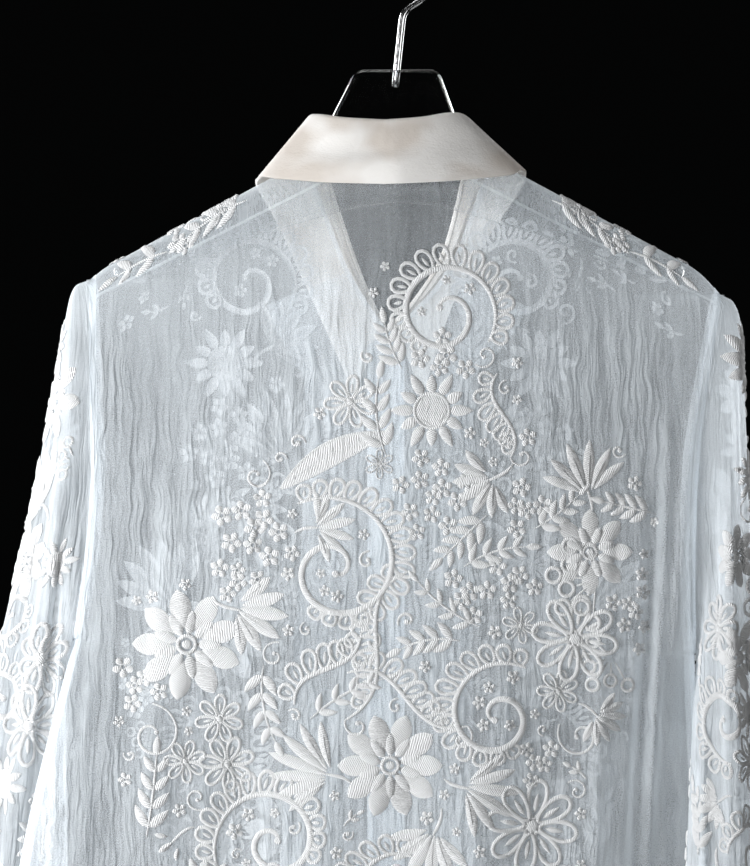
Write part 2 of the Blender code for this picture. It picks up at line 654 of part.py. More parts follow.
def hanger_hook():
    """The wire hook: a leaning rod, a side bend and an arc over the rail."""
    centre_z = -HOOK_RADIUS + WIRE_RADIUS
    foot, top = Vector(ROD_FOOT), Vector(ROD_TOP)
    lean = (top - foot).normalized()
    join = Vector((-HOOK_RADIUS, 0.0, centre_z))
    points = [foot.lerp(top, i / 2) for i in range(2)]
    handle_a = top + lean * 0.012
    handle_b = join - Vector((0.0, 0.0, 0.014))
    for i in range(9):
        t = i / 8
        points.append(top * (1 - t) ** 3 + handle_a * 3 * t * (1 - t) ** 2
                      + handle_b * 3 * t * t * (1 - t) + join * t ** 3)
    for i in range(1, 21):
        angle = math.radians(180.0 - 200.0 * i / 20)
        points.append(Vector((HOOK_RADIUS * math.cos(angle), 0.0,
                              centre_z + HOOK_RADIUS * math.sin(angle))))
    data = bpy.data.curves.new("hanger_hook", "CURVE")
    data.dimensions = "3D"
    data.bevel_depth = WIRE_RADIUS
    data.bevel_resolution = 2
    data.use_fill_caps = True
    line = data.splines.new("POLY")
    line.points.add(len(points) - 1)
    for point, place in zip(line.points, points):
        point.co = (*place, 1.0)
    hook = bpy.data.objects.new("hanger_hook", data)
    bpy.context.scene.collection.objects.link(hook)
    return hook


def panel_tree(rows):
    """Search tree of a panel's own faces, for what lies on it."""
    points = [point for row in rows for point in row]
    wide = len(rows[0])
    faces = []
    for i in range(len(rows) - 1):
        for j in range(wide - 1):
            a = i * wide + j
            faces += [(a, a + 1, a + wide + 1), (a, a + wide + 1, a + wide)]
    return BVHTree.FromPolygons(points, faces)


def on_panel(tree, x, z, lift):
    """Point over a back panel's faces, moved out from them by lift."""
    hit = tree.ray_cast(Vector((x, 1.0, z)), Vector((0, -1, 0)))[0]
    outward = (cover(x, z, 1, 1.0) - cover(x, z, 1)).normalized()
    return hit + outward * lift


def stitched_flower(tree, name, x, z, radius, petals, depth):
    """A padded flower stitched on the back: a petalled plate that follows the cloth."""
    count = petals * 3
    outline = []
    for i in range(count):
        angle = 2 * math.pi * i / count
        reach = radius * (1.0 - depth * (0.5 - 0.5 * math.cos(petals * angle)) ** 1.5)
        outline.append((x + reach * math.cos(angle), z + reach * math.sin(angle)))
    low, high = STITCH_LIFT, STITCH_LIFT + STITCH_HEIGHT
    rings = ((0.45, low), (1.0, low), (1.0, high), (0.7, high), (0.35, high))
    loops = [[on_panel(tree, x + (px - x) * share, z + (pz - z) * share, lift) for px, pz in outline]
             for share, lift in rings]
    return closed_band(name, loops, on_panel(tree, x, z, low), on_panel(tree, x, z, high))


def closed_band(name, loops, low_middle, high_middle):
    """A closed solid through loops of points, capped by a fan at each end."""
    mesh = grid_mesh(name, loops, around=True)
    work = bmesh.new()
    work.from_mesh(mesh)
    work.verts.ensure_lookup_table()
    size = len(loops[0])
    for first, middle in ((0, low_middle), (size * (len(loops) - 1), high_middle)):
        tip = work.verts.new(middle)
        work.verts.ensure_lookup_table()
        for i in range(size):
            work.faces.new((work.verts[first + i], work.verts[first + (i + 1) % size], tip))
    bmesh.ops.recalc_face_normals(work, faces=work.faces)
    work.to_mesh(mesh)
    work.free()
    obj = bpy.data.objects.new(name, mesh)
    bpy.context.scene.collection.objects.link(obj)
    return obj


def stitched_scroll(tree, name, x, z, start_radius, end_radius, start, turn, count=26):
    """A padded spiral stem stitched on the back, tapered to both ends."""
    loops = []
    for i in range(count + 1):
        share = i / count
        angle = math.radians(start + turn * share)
        reach = start_radius + (end_radius - start_radius) * share
        half = SCROLL_WIDTH / 2 * (0.35 + 0.65 * math.sin(math.pi * share) ** 0.5)
        ring = []
        for side, lift in ((-1, STITCH_LIFT), (1, STITCH_LIFT), (0.55, STITCH_LIFT + STITCH_HEIGHT),
                           (-0.55, STITCH_LIFT + STITCH_HEIGHT)):
            radius = reach + half * side
            ring.append(on_panel(tree, x + radius * math.cos(angle), z + radius * math.sin(angle), lift))
        loops.append(ring)
    ends = [sum(ring, Vector()) / len(ring) for ring in (loops[0], loops[-1])]
    return closed_band(name, loops, *ends)


def build():
    """Make every piece of the shirt and its hanger."""
    for obj in list(bpy.data.objects):
        bpy.data.objects.remove(obj)
    shirt = bpy.data.collections.new("embroidered_shirt_on_hanger")
    cutters = bpy.data.collections.new("cutters")
    for collection in (shirt, cutters):
        bpy.context.scene.collection.children.link(collection)
    root = bpy.data.objects.new("shirt_on_hanger", None)
    shirt.objects.link(root)

    sheer = material("sheer_crepe", (0.86, 0.88, 0.90), 0.70)
    crepe = material("collar_crepe", (0.93, 0.92, 0.89), 0.55)
    thread = material("embroidery_thread", (0.97, 0.97, 0.97), 0.45)
    shell = material("button_shell", (0.90, 0.89, 0.85), 0.25)
    clear = material("clear_plate", (0.85, 0.90, 0.92), 0.05, alpha=0.25)
    metal = material("hook_metal", (0.75, 0.75, 0.76), 0.15, metallic=1.0)

    back = back_rows()
    left = front_rows(1, LEFT_NECK, LEFT_FRONT_REACH)
    right = front_rows(-1, RIGHT_NECK, RIGHT_FRONT_REACH)
    pieces = [
        (cloth("back", back, WALL), sheer),
        (cloth("front_left", left, WALL), sheer),
        (cloth("front_right", right, WALL), sheer),
        (cloth("facing_left", facing_rows(left, 1), WALL), sheer),
        (cloth("facing_right", facing_rows(right, -1), WALL), sheer),
        (cloth("sleeve_left", sleeve_rows(1, LEFT_SLEEVE), WALL, around=True), sheer),
        (cloth("sleeve_right", sleeve_rows(-1, RIGHT_SLEEVE), WALL, around=True), sheer),
        (cloth("collar_leaf", both_halves(collar_section, 1.0, 17), COLLAR_WALL), crepe),
        (cloth("collar_stand", both_halves(
            lambda side, table, u: stand_section(side, table, u, neck_edge), STAND_END, 14),
            STAND_WALL), crepe),
        (hanger_plate(cutters), clear),
        (hanger_hook(), metal)]
    for i in range(BUTTON_COUNT):
        pieces.append((button(f"button_{i + 1}", BUTTON_FIRST_Z - BUTTON_SPACING * i), shell))
    tree = panel_tree(back)
    for name, *numbers in BACK_FLOWERS:
        pieces.append((stitched_flower(tree, name, *numbers), thread))
    for name, *numbers in BACK_SCROLLS:
        pieces.append((stitched_scroll(tree, name, *numbers), thread))
    for obj, look in pieces:
        keep(obj, look, shirt, root)


build()
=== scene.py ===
"""Sheer embroidered shirt on a clear hanger, dressed for rendering.

Metres, +Z up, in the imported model's own frame: the origin is the inner top of the hook,
the front of the shirt faces -Y and the wearer's left is +X. The camera looks at the back.
"""
import math

import bmesh
import bpy
import numpy as np
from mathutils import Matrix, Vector


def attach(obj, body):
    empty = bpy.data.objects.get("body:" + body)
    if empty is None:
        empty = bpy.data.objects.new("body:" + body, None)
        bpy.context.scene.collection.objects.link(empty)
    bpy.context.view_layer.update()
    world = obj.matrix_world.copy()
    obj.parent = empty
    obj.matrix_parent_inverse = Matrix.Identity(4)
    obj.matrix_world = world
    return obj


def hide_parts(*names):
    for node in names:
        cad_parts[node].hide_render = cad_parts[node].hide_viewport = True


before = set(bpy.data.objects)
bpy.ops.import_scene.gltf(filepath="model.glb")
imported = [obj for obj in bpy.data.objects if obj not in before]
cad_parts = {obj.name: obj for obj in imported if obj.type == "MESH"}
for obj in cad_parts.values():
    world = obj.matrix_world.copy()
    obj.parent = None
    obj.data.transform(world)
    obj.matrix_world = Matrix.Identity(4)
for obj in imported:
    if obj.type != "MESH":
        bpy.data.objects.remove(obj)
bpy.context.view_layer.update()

SIDES = ((1, "left"), (-1, "right"))     # the wearer's left is +X

# Form of the hanging shirt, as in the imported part
HEM_Z = -0.810
NECK_POINT_X = 0.064
RIDGE_RADIUS = 0.0055
RIDGE_X, RIDGE_Z, RIDGE_SLOPE = 0.085, -0.1466, 0.54
TIP_X, TIP_CURVE = 0.19, 18.0            # where the ridge turns down at the arm's end
NECKLINE_Z, NECKLINE_RISE = -0.1400, 0.0047
SEAM_X, SEAM_Z, SEAM_SLOPE = 0.028, -0.1390, 0.505
FULLNESS = 0.036
FULLNESS_DROP = 0.070
ARMHOLE_DROP = 0.236
ARMHOLE_HALF_DEPTH = 0.022
ARMHOLE_GAP = 0.0016
SIDE_HALF_GAP = 0.0011
SEAM_HALF_GAP = 0.0006
CENTRE_X = 0.0085
LAP_OFFSET = 0.0033
FACING_OFFSET = 0.0015
RIGHT_FRONT_REACH = 0.021
LEFT_FRONT_REACH = -0.004
NECK_END_Z = -0.256
FACING_TOP_Z = -0.205
FACING_SHARE = 1.0 / 3.0

# Closing and hanger
BUTTON_RADIUS, BUTTON_THICKNESS = 0.005, 0.0022
BUTTON_FIRST_Z, BUTTON_SPACING, BUTTON_COUNT = -0.262, 0.100, 5
HOLE_RADIUS, HOLE_PLACE, BUTTON_THREAD_RADIUS = 0.00048, 0.00105, 0.00016
WALL = 0.0012
PLATE_THICKNESS, PLATE_BEVEL, PLATE_REST = 0.007, 0.0026, 0.0013
ARM_REACH = 0.186
WIRE_RADIUS, HOOK_RADIUS = 0.00225, 0.02025
ROD_FOOT, ROD_TOP = (0.0026, 0.0, -0.0865), (-0.0022, 0.0, -0.0420)

# Embroidery
STITCH_LIFT = 0.0003      # underside of a stitched motif above the cloth
RIGHT_FRONT_SHIFT = 0.022 # how far the right front's motifs move to the wearer's left
THREAD_PITCH = 0.0012     # distance between the ribs of thread that show
THREAD_SLANT = 0.45       # shift of the ribs along a strip for each step across it
GOLDEN_ANGLE = 2.39996
BACK_MOTIF_NODES = (
    "flower_top", "flower_side_upper", "flower_side_lower", "flower_left", "flower_middle",
    "flower_low", "scroll_top", "scroll_middle", "scroll_low", "scroll_left")


def smooth(value):
    """Ease from 0 to 1 as value goes from 0 to 1."""
    value = np.clip(value, 0.0, 1.0)
    return value * value * (3.0 - 2.0 * value)


class Table:
    """Rows of numbers under named columns, read smoothly between the rows."""

    def __init__(self, names, rows):
        self.names = names.split()
        self.rows = np.array(rows, dtype=float)
        keys = self.rows[:, 0]
        before = np.maximum(np.arange(len(keys)) - 1, 0)
        after = np.minimum(np.arange(len(keys)) + 1, len(keys) - 1)
        self.slopes = (self.rows[after] - self.rows[before]) / (keys[after] - keys[before])[:, None]

    def at(self, key, name):
        """Values of a column where the first column has the values key."""
        column = self.names.index(name)
        keys, values, slopes = self.rows[:, 0], self.rows[:, column], self.slopes[:, column]
        key = np.clip(key, keys[0], keys[-1])
        low = np.clip(np.searchsorted(keys, key, side="right") - 1, 0, len(keys) - 2)
        span = keys[low + 1] - keys[low]
        t = (key - keys[low]) / span
        t2, t3 = t * t, t * t * t
        return ((2 * t3 - 3 * t2 + 1) * values[low] + (t3 - 2 * t2 + t) * span * slopes[low]
                + (3 * t2 - 2 * t3) * values[low + 1] + (t3 - t2) * span * slopes[low + 1])


# Half widths of the body and how far each side edge has swung to the back (+) or front (-)
BODY = Table("fall left right left_swing right_swing", (
    (0.2139, 0.2035, 0.2120, 0.000, 0.000),
    (0.2239, 0.2034, 0.2120, 0.000, 0.000),
    (0.260, 0.2030, 0.2060, 0.000, 0.000),
    (0.300, 0.2020, 0.1995, 0.000, 0.000),
    (0.345, 0.2015, 0.1950, 0.000, 0.000),
    (0.400, 0.2060, 0.1935, 0.000, 0.000),
    (0.450, 0.2140, 0.1945, 0.002, -0.002),
    (0.500, 0.2260, 0.1970, 0.014, -0.012),
    (0.550, 0.2380, 0.2000, 0.020, -0.016),
    (0.600, 0.2480, 0.2040, 0.022, -0.018),
    (0.700, 0.2600, 0.2110, 0.022, -0.018),
    (0.810, 0.2680, 0.2170, 0.022, -0.018)))

# Front neckline edges, down from the neck point to the closing
LEFT_NECK = Table("fall x", (
    (0.1353, 0.0640), (0.1425, 0.0585), (0.1560, 0.0525), (0.1750, 0.0455), (0.1960, 0.0375),
    (0.2135, 0.0290), (0.2290, 0.0195), (0.2440, 0.0085), (0.2560, LEFT_FRONT_REACH)))
RIGHT_NECK = Table("fall x", (
    (0.1353, -0.0640), (0.1425, -0.0585), (0.1560, -0.0525), (0.1750, -0.0455), (0.1960, -0.0375),
    (0.2135, -0.0265), (0.2310, -0.0110), (0.2445, 0.0050), (0.2560, RIGHT_FRONT_REACH)))

# Soft folds: where each starts and ends, its half width and its height
FOLD_COLUMNS = "x_top z_top x_bottom z_bottom half_width height".split()
BACK_FOLDS = (
    (-0.192, -0.240, -0.164, -0.620, 0.0130, 0.0070),
    (-0.172, -0.270, -0.142, -0.810, 0.0140, -0.0050),
    (-0.152, -0.320, -0.116, -0.810, 0.0150, 0.0045),
    (-0.095, -0.430, -0.084, -0.810, 0.0170, -0.0040),
    (-0.050, -0.480, -0.046, -0.810, 0.0160, 0.0050),
    (-0.005, -0.440, 0.000, -0.810, 0.0170, -0.0040),
    (0.045, -0.500, 0.055, -0.810, 0.0160, 0.0055),
    (0.095, -0.420, 0.112, -0.810, 0.0170, -0.0045),
    (0.150, -0.330, 0.176, -0.810, 0.0160, 0.0050),
    (0.178, -0.260, 0.222, -0.810, 0.0150, 0.0060))
FRONT_FOLDS = (
    (-0.180, -0.260, -0.160, -0.810, 0.0150, 0.0060),
    (-0.140, -0.300, -0.122, -0.810, 0.0160, -0.0045),
    (-0.095, -0.360, -0.085, -0.810, 0.0160, 0.0055),
    (-0.055, -0.450, -0.050, -0.810, 0.0150, -0.0035),
    (0.075, -0.430, 0.080, -0.810, 0.0150, -0.0035),
    (0.110, -0.340, 0.122, -0.810, 0.0160, 0.0055),
    (0.150, -0.290, 0.170, -0.810, 0.0160, -0.0045),
    (0.182, -0.260, 0.215, -0.810, 0.0150, 0.0060))
# Sharper creases within those folds
BACK_CREASES = (
    (-0.196, -0.262, -0.176, -0.490, 0.0046, 0.0070),
    (-0.187, -0.262, -0.168, -0.490, 0.0050, -0.0034),
    (-0.180, -0.255, -0.160, -0.660, 0.0042, 0.0078),
    (-0.172, -0.270, -0.151, -0.640, 0.0050, -0.0040),
    (-0.160, -0.330, -0.142, -0.700, 0.0048, 0.0044),
    (-0.147, -0.300, -0.134, -0.520, 0.0040, -0.0022),
    (-0.134, -0.360, -0.126, -0.700, 0.0050, 0.0030),
    (0.092, -0.250, 0.098, -0.430, 0.0034, 0.0012),
    (0.118, -0.235, 0.128, -0.470, 0.0040, -0.0016),
    (0.134, -0.270, 0.146, -0.560, 0.0038, 0.0016),
    (0.152, -0.250, 0.170, -0.520, 0.0042, -0.0018),
    (0.172, -0.240, 0.196, -0.640, 0.0040, 0.0022),
    (0.188, -0.260, 0.224, -0.700, 0.0044, -0.0020),
    (0.066, -0.220, 0.072, -0.340, 0.0032, 0.0010),
    (-0.070, -0.200, -0.082, -0.330, 0.0034, 0.0010),
    (-0.100, -0.215, -0.112, -0.400, 0.0038, -0.0010))
FRONT_CREASES = (
    (-0.168, -0.250, -0.150, -0.520, 0.0040, 0.0018),
    (-0.120, -0.230, -0.112, -0.470, 0.0040, -0.0014),
    (-0.080, -0.330, -0.074, -0.640, 0.0042, 0.0016),
    (0.060, -0.330, 0.064, -0.600, 0.0040, 0.0014),
    (0.092, -0.240, 0.098, -0.520, 0.0040, -0.0014),
    (0.132, -0.240, 0.144, -0.560, 0.0040, 0.0018),
    (0.168, -0.240, 0.190, -0.640, 0.0042, -0.0018))

LEFT_SLEEVE = Table("t outer_x outer_z inner_x inner_z centre_y half_depth", (
    (0.00, 0.2035, -0.2139, 0.2140, -0.4499, 0.000, 0.0220),
    (0.05, 0.2125, -0.2185, 0.2150, -0.4560, 0.000, 0.0235),
    (0.12, 0.2185, -0.2350, 0.2175, -0.4660, -0.002, 0.0260),
    (0.25, 0.2290, -0.2900, 0.2210, -0.4900, -0.010, 0.0280),
    (0.40, 0.2450, -0.3700, 0.2220, -0.5300, -0.020, 0.0280),
    (0.60, 0.2700, -0.4800, 0.2220, -0.6000, -0.032, 0.0270),
    (0.80, 0.2900, -0.6100, 0.2230, -0.6900, -0.036, 0.0270),
    (1.00, 0.3030, -0.7750, 0.2280, -0.7750, -0.038, 0.0280)))
RIGHT_SLEEVE = Table("t outer_x outer_z inner_x inner_z centre_y half_depth", (
    (0.00, -0.2120, -0.2239, -0.1946, -0.4599, 0.000, 0.0220),
    (0.05, -0.2195, -0.2290, -0.1965, -0.4670, 0.000, 0.0235),
    (0.12, -0.2245, -0.2450, -0.1955, -0.4770, 0.002, 0.0260),
    (0.25, -0.2265, -0.3000, -0.1935, -0.5000, 0.010, 0.0290),
    (0.40, -0.2290, -0.3800, -0.1910, -0.5400, 0.020, 0.0310),
    (0.60, -0.2350, -0.4900, -0.1870, -0.6100, 0.030, 0.0320),
    (0.80, -0.2400, -0.6200, -0.1860, -0.7000, 0.040, 0.0310),
    (1.00, -0.2430, -0.7850, -0.1840, -0.7850, 0.040, 0.0320)))
# Creases along the sleeves: angle round the sleeve at both ends, where along it, width, height
SLEEVE_CREASES = (
    (0.30, 0.10, 0.55, 0.60, 0.060, 0.0022),
    (0.75, 0.05, 0.95, 0.80, 0.070, -0.0022),
    (1.25, 0.12, 1.35, 1.00, 0.080, 0.0026),
    (1.85, 0.06, 1.65, 0.70, 0.070, -0.0022),
    (2.35, 0.20, 2.20, 1.00, 0.080, 0.0024),
    (2.80, 0.10, 2.70, 0.60, 0.060, 0.0016),
    (3.70, 0.10, 3.85, 0.80, 0.070, -0.0020),
    (4.30, 0.08, 4.45, 1.00, 0.080, 0.0026),
    (4.95, 0.15, 4.90, 0.90, 0.080, -0.0024),
    (5.55, 0.06, 5.40, 0.70, 0.070, 0.0022),
    (6.00, 0.20, 6.05, 1.00, 0.060, -0.0018))

COLLAR_COLUMNS = "u neck_x fold_x fold_y fold_z edge_x edge_z lift"
LEFT_COLLAR = Table(COLLAR_COLUMNS, (
    (0.0, 0.0000, 0.0090, 0.0215, -0.1135, 0.0080, -0.1545, 0.0080),
    (0.2, 0.0280, 0.0340, 0.0195, -0.1120, 0.0470, -0.1535, 0.0080),
    (0.4, 0.0520, 0.0540, 0.0110, -0.1090, 0.0820, -0.1500, 0.0060),
    (0.5, 0.0640, 0.0575, 0.0000, -0.1100, 0.0930, -0.1509, 0.0040),
    (0.6, 0.0595, 0.0560, -0.0110, -0.1220, 0.0905, -0.1580, 0.0035),
    (0.7, 0.0525, 0.0468, -0.0175, -0.1500, 0.0800, -0.1760, 0.0035),
    (0.8, 0.0385, 0.0320, -0.0290, -0.1950, 0.0690, -0.2000, 0.0035),
    (0.9, 0.0240, 0.0190, -0.0330, -0.2270, 0.0540, -0.2330, 0.0035),
    (1.0, 0.0100, 0.0105, -0.0340, -0.2425, 0.0290, -0.2895, 0.0040)))
RIGHT_COLLAR = Table(COLLAR_COLUMNS, (
    (0.0, 0.0000, 0.0090, 0.0215, -0.1135, 0.0080, -0.1545, 0.0080),
    (0.2, -0.0280, -0.0150, 0.0195, -0.1115, -0.0320, -0.1525, 0.0080),
    (0.4, -0.0520, -0.0380, 0.0110, -0.1080, -0.0690, -0.1480, 0.0060),
    (0.5, -0.0640, -0.0465, 0.0000, -0.1130, -0.0825, -0.1453, 0.0040),
    (0.6, -0.0595, -0.0470, -0.0110, -0.1240, -0.0790, -0.1560, 0.0035),
    (0.7, -0.0525, -0.0425, -0.0175, -0.1500, -0.0650, -0.1760, 0.0035),
    (0.8, -0.0385, -0.0310, -0.0290, -0.1950, -0.0500, -0.2010, 0.0035),
    (0.9, -0.0180, -0.0120, -0.0330, -0.2260, -0.0340, -0.2340, 0.0035),
    (1.0, 0.0040, 0.0030, -0.0340, -0.2425, -0.0160, -0.2895, 0.0040)))
BACK_ROLL, FRONT_ROLL = 0.0030, 0.0017   # radius of the leaf's fold
LYING_FROM, LYING_BY = 0.6, 0.70         # u where the leaf comes to lie on the front
# name, end u, steps of a half, wall, cut length, how it is held
COLLAR_PIECES = (
    ("collar_leaf", 1.0, 90, 0.0018, 0.62, "folded"),
    ("collar_stand", 0.90, 60, 0.0015, 0.44, "hung"))

PLATE_NECK = ((-0.0750, 0.0285, -0.0265), (-0.1040, 0.0435, -0.0368), (-0.1290, 0.0530, -0.0465))
PLATE_UNDERSIDE = ((0.150, -0.2080), (0.090, -0.1830), (0.030, -0.1660), (0.000, -0.1620))


# The form of the cloth

def ridge_z(x):
    """Height of the shoulder ridge, where the cloth turns over the hanger's arm."""
    out = np.abs(x)
    return (RIDGE_Z - (out - RIDGE_X) * RIDGE_SLOPE
            - TIP_CURVE * np.maximum(out - TIP_X, 0.0) ** 2)


def side_x(side, z):
    """X of a body side edge at height z."""
    return side * BODY.at(-z, "left" if side > 0 else "right")


def side_swing(side, z):
    """Y of a body side edge at height z."""
    return BODY.at(-z, "left_swing" if side > 0 else "right_swing")


def side_top_x(side):
    """X of a body side edge at its top."""
    return side * BODY.rows[0][1 if side > 0 else 2]


def front_of(side):
    """Name of the front panel on a side."""
    return "front_left" if side > 0 else "front_right"


def armhole_half_depth(side, z):
    """Half opening between the front and back edge at a side: armhole above, seam below."""
    down = (ridge_z(side_top_x(side)) - z) / ARMHOLE_DROP
    inside = np.clip(1.0 - np.abs(2.0 * np.clip(down, 0, 1) - 1.0) ** 2.5, 0.0, 1.0)
    opening = ARMHOLE_HALF_DEPTH * inside ** 0.4
    opening = np.where(down < 0.5, opening, np.maximum(SIDE_HALF_GAP, opening))
    return np.where(down <= 0.0, 0.0, np.where(down >= 1.0, SIDE_HALF_GAP, opening))


def fold_sum(x, z, table):
    """Sum of the folds of one table at a point."""
    total = np.zeros_like(x)
    for row in table:
        fold = dict(zip(FOLD_COLUMNS, row))
        along = (fold["z_top"] - z) / (fold["z_top"] - fold["z_bottom"])
        middle = fold["x_top"] + (fold["x_bottom"] - fold["x_top"]) * along
        across = (x - middle) / fold["half_width"]
        ending = 1.0 if fold["z_bottom"] <= HEM_Z else smooth((1.0 - along) / 0.35)
        inside = (along > 0.0) & (along <= 1.0)
        total += np.where(inside, fold["height"] * np.exp(-across * across)
                          * smooth(along / 0.35) * ending, 0.0)
    return total


def crinkles(count, seed):
    """Small creases of the crepe: rows for a fold table, in a fixed order."""
    rng = np.random.default_rng(seed)
    rows = []
    for _ in range(count):
        x = rng.uniform(-0.20, 0.21)
        z = rng.uniform(-0.75, -0.19)
        length = rng.uniform(0.05, 0.17)
        lean = rng.normal(0.0, 0.006)
        rows.append((x, z, x + lean, max(z - length, HEM_Z + 0.002), rng.uniform(0.0022, 0.0045),
                     rng.choice((-1.0, 1.0)) * rng.uniform(0.0004, 0.0012)))
    return tuple(rows)


BACK_CRINKLES = crinkles(90, 11)
FRONT_CRINKLES = crinkles(70, 23)


def surface_y(x, z, face, creased=True):
    """Y of the cloth at a point of the back (face 1) or the front (face -1)."""
    x, z = np.broadcast_arrays(np.asarray(x, float), np.asarray(z, float))
    result = np.empty_like(x)
    for side in (1, -1):
        here = (x >= CENTRE_X) if side > 0 else (x < CENTRE_X)
        if not here.any():
            continue
        hx, hz = x[here], z[here]
        out = np.minimum(1.0, np.abs(hx - CENTRE_X) / np.abs(side_x(side, hz) - CENTRE_X))
        below = np.maximum(0.0, ridge_z(hx) - hz)
        bend = RIDGE_RADIUS * np.sqrt(1.0 - (1.0 - np.minimum(1.0, below / RIDGE_RADIUS)) ** 2)
        fill = FULLNESS * (1.0 - 0.45 * (hx / 0.2) ** 2) * (1.0 - np.exp(-below / FULLNESS_DROP))
        flare = 0.008 * smooth((hz + 0.45) / (HEM_Z + 0.45))
        closing = np.sqrt(1.0 - out ** 4)
        bend = bend * np.sqrt(1.0 - out ** 24)
        half = armhole_half_depth(side, hz) * (1.0 - closing) + bend + (fill + flare) * closing
        swing = side_swing(side, hz) * smooth((out - 0.3) / 0.7)
        folds = fold_sum(hx, hz, BACK_FOLDS if face > 0 else FRONT_FOLDS)
        if creased:
            fine = fold_sum(hx, hz, BACK_CREASES + BACK_CRINKLES if face > 0
                            else FRONT_CREASES + FRONT_CRINKLES)
            folds = folds + fine * smooth(below / 0.03)
        result[here] = swing + face * (half + folds * closing)
    return result


def panel_y(x, z, panel, creased=True):
    """Y of one of the three panels: the left front lies behind the right one's edge."""
    face = 1 if panel == "back" else -1
    y = surface_y(x, z, face, creased)
    if panel == "front_left":
        y = y + LAP_OFFSET * smooth((0.050 - np.asarray(x)) / 0.020)
    return y


def cover(x, z, panel, lift=0.0, creased=True):
    """Points on a panel, moved out from it by lift."""
    x, z, lift = np.broadcast_arrays(np.asarray(x, float), np.asarray(z, float),
                                     np.asarray(lift, float))
    face = 1 if panel == "back" else -1
    here = np.stack((x, panel_y(x, z, panel, creased), z), axis=-1)
    step = 0.0015
    slope_x = (panel_y(x + step, z, panel, creased) - panel_y(x - step, z, panel, creased)) / (2 * step)
    slope_z = (panel_y(x, z + step, panel, creased) - panel_y(x, z - step, panel, creased)) / (2 * step)
    outward = np.stack((-slope_x, np.ones_like(x), -slope_z), axis=-1) * face
    outward /= np.linalg.norm(outward, axis=-1, keepdims=True)
    return here + outward * lift[..., None]


# Meshes

def new_object(name, data):
    """Make an object and link it to the scene."""
    obj = bpy.data.objects.new(name, data)
    bpy.context.scene.collection.objects.link(obj)
    return obj


def add_object(name, mesh, material, slot, *nodes):
    """Add a piece, give it its material, and tie it to the frame."""
    obj = new_object(name, mesh)
    mesh.materials.append(material)
    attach(obj, "root")
    if nodes:
        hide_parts(*nodes)
    return obj


def grid_faces(rows, columns, around=False):
    """Corner numbers of the four-sided faces of a grid of points."""
    wide = columns if around else columns - 1
    i, j = np.meshgrid(np.arange(rows - 1), np.arange(wide), indexing="ij")
    k = (j + 1) % columns
    return np.stack((i * columns + j, i * columns + k, (i + 1) * columns + k,
                     (i + 1) * columns + j), axis=-1).reshape(-1, 4)


def mesh_from(name, points, faces, uv=None):
    """Smooth mesh from arrays of points and four-sided faces, with a UV map in metres."""
    mesh = bpy.data.meshes.new(name)
    mesh.from_pydata(points.reshape(-1, 3).tolist(), [], faces.tolist())
    mesh.polygons.foreach_set("use_smooth", np.ones(len(mesh.polygons), dtype=bool))
    if uv is not None:
        layer = mesh.uv_layers.new(name="cloth")
        corners = np.empty(len(mesh.loops), dtype=np.int32)
        mesh.loops.foreach_get("vertex_index", corners)
        layer.data.foreach_set("uv", uv.reshape(-1, 2)[corners].ravel())
    mesh.update()
    return mesh


def grid_mesh(name, points, uv):
    """Smooth mesh through a grid of points with a UV value at each."""
    rows, columns = points.shape[:2]
    return mesh_from(name, points, grid_faces(rows, columns), uv)


def grid_normals(points):
    """Unit normals of a grid of points, by its own neighbours."""
    along = np.gradient(points, axis=0)
    across = np.gradient(points, axis=1)
    normals = np.cross(across, along)
    return normals / np.maximum(np.linalg.norm(normals, axis=-1, keepdims=True), 1e-12)


def moved(points, distance):
    """The same grid of points, each moved along the grid's own normal."""
    return points + grid_normals(points) * distance


def evaluated_mesh(obj):
    """A mesh of an object as its modifiers or its curve make it; the object is removed."""
    bpy.context.view_layer.update()
    made = bpy.data.meshes.new_from_object(obj.evaluated_get(bpy.context.evaluated_depsgraph_get()))
    bpy.data.objects.remove(obj)
    return made


def close_rims(mesh):
    """Fill the open rims of a mesh and turn its faces outward."""
    work = bmesh.new()
    work.from_mesh(mesh)
    bmesh.ops.holes_fill(work, edges=[edge for edge in work.edges if edge.is_boundary])
    bmesh.ops.recalc_face_normals(work, faces=work.faces)
    work.to_mesh(mesh)
    work.free()


def tube_round(line, radius, sides=8):
    """A grid of points round a line: a small tube."""
    along = np.gradient(line, axis=0)
    along /= np.linalg.norm(along, axis=-1, keepdims=True)
    up = np.zeros_like(along)
    up[:, 2] = 1.0
    aside = np.cross(along, up)
    aside /= np.linalg.norm(aside, axis=-1, keepdims=True)
    up = np.cross(aside, along)
    turn = np.linspace(0.0, 2 * math.pi, sides + 1)
    ring = aside[:, None] * np.cos(turn)[None, :, None] + up[:, None] * np.sin(turn)[None, :, None]
    return line[:, None] + ring * radius


def joined_grids(name, grids, uvs):
    """One mesh from several grids of points."""
    points, faces, coords, start = [], [], [], 0
    for grid, uv in zip(grids, uvs):
        faces.append(grid_faces(*grid.shape[:2]) + start)
        points.append(grid.reshape(-1, 3))
        coords.append(uv.reshape(-1, 2))
        start += grid.shape[0] * grid.shape[1]
    return mesh_from(name, np.concatenate(points), np.concatenate(faces), np.concatenate(coords))


# Materials

CREPE_COLOUR = (0.875, 0.935, 0.985, 1.0)
THROUGH_SHARE = 0.36      # of the light that the crepe's threads let through
WAVES_AT_SCALE_1 = 0.314  # length in metres of one wave of the wave texture at scale 1


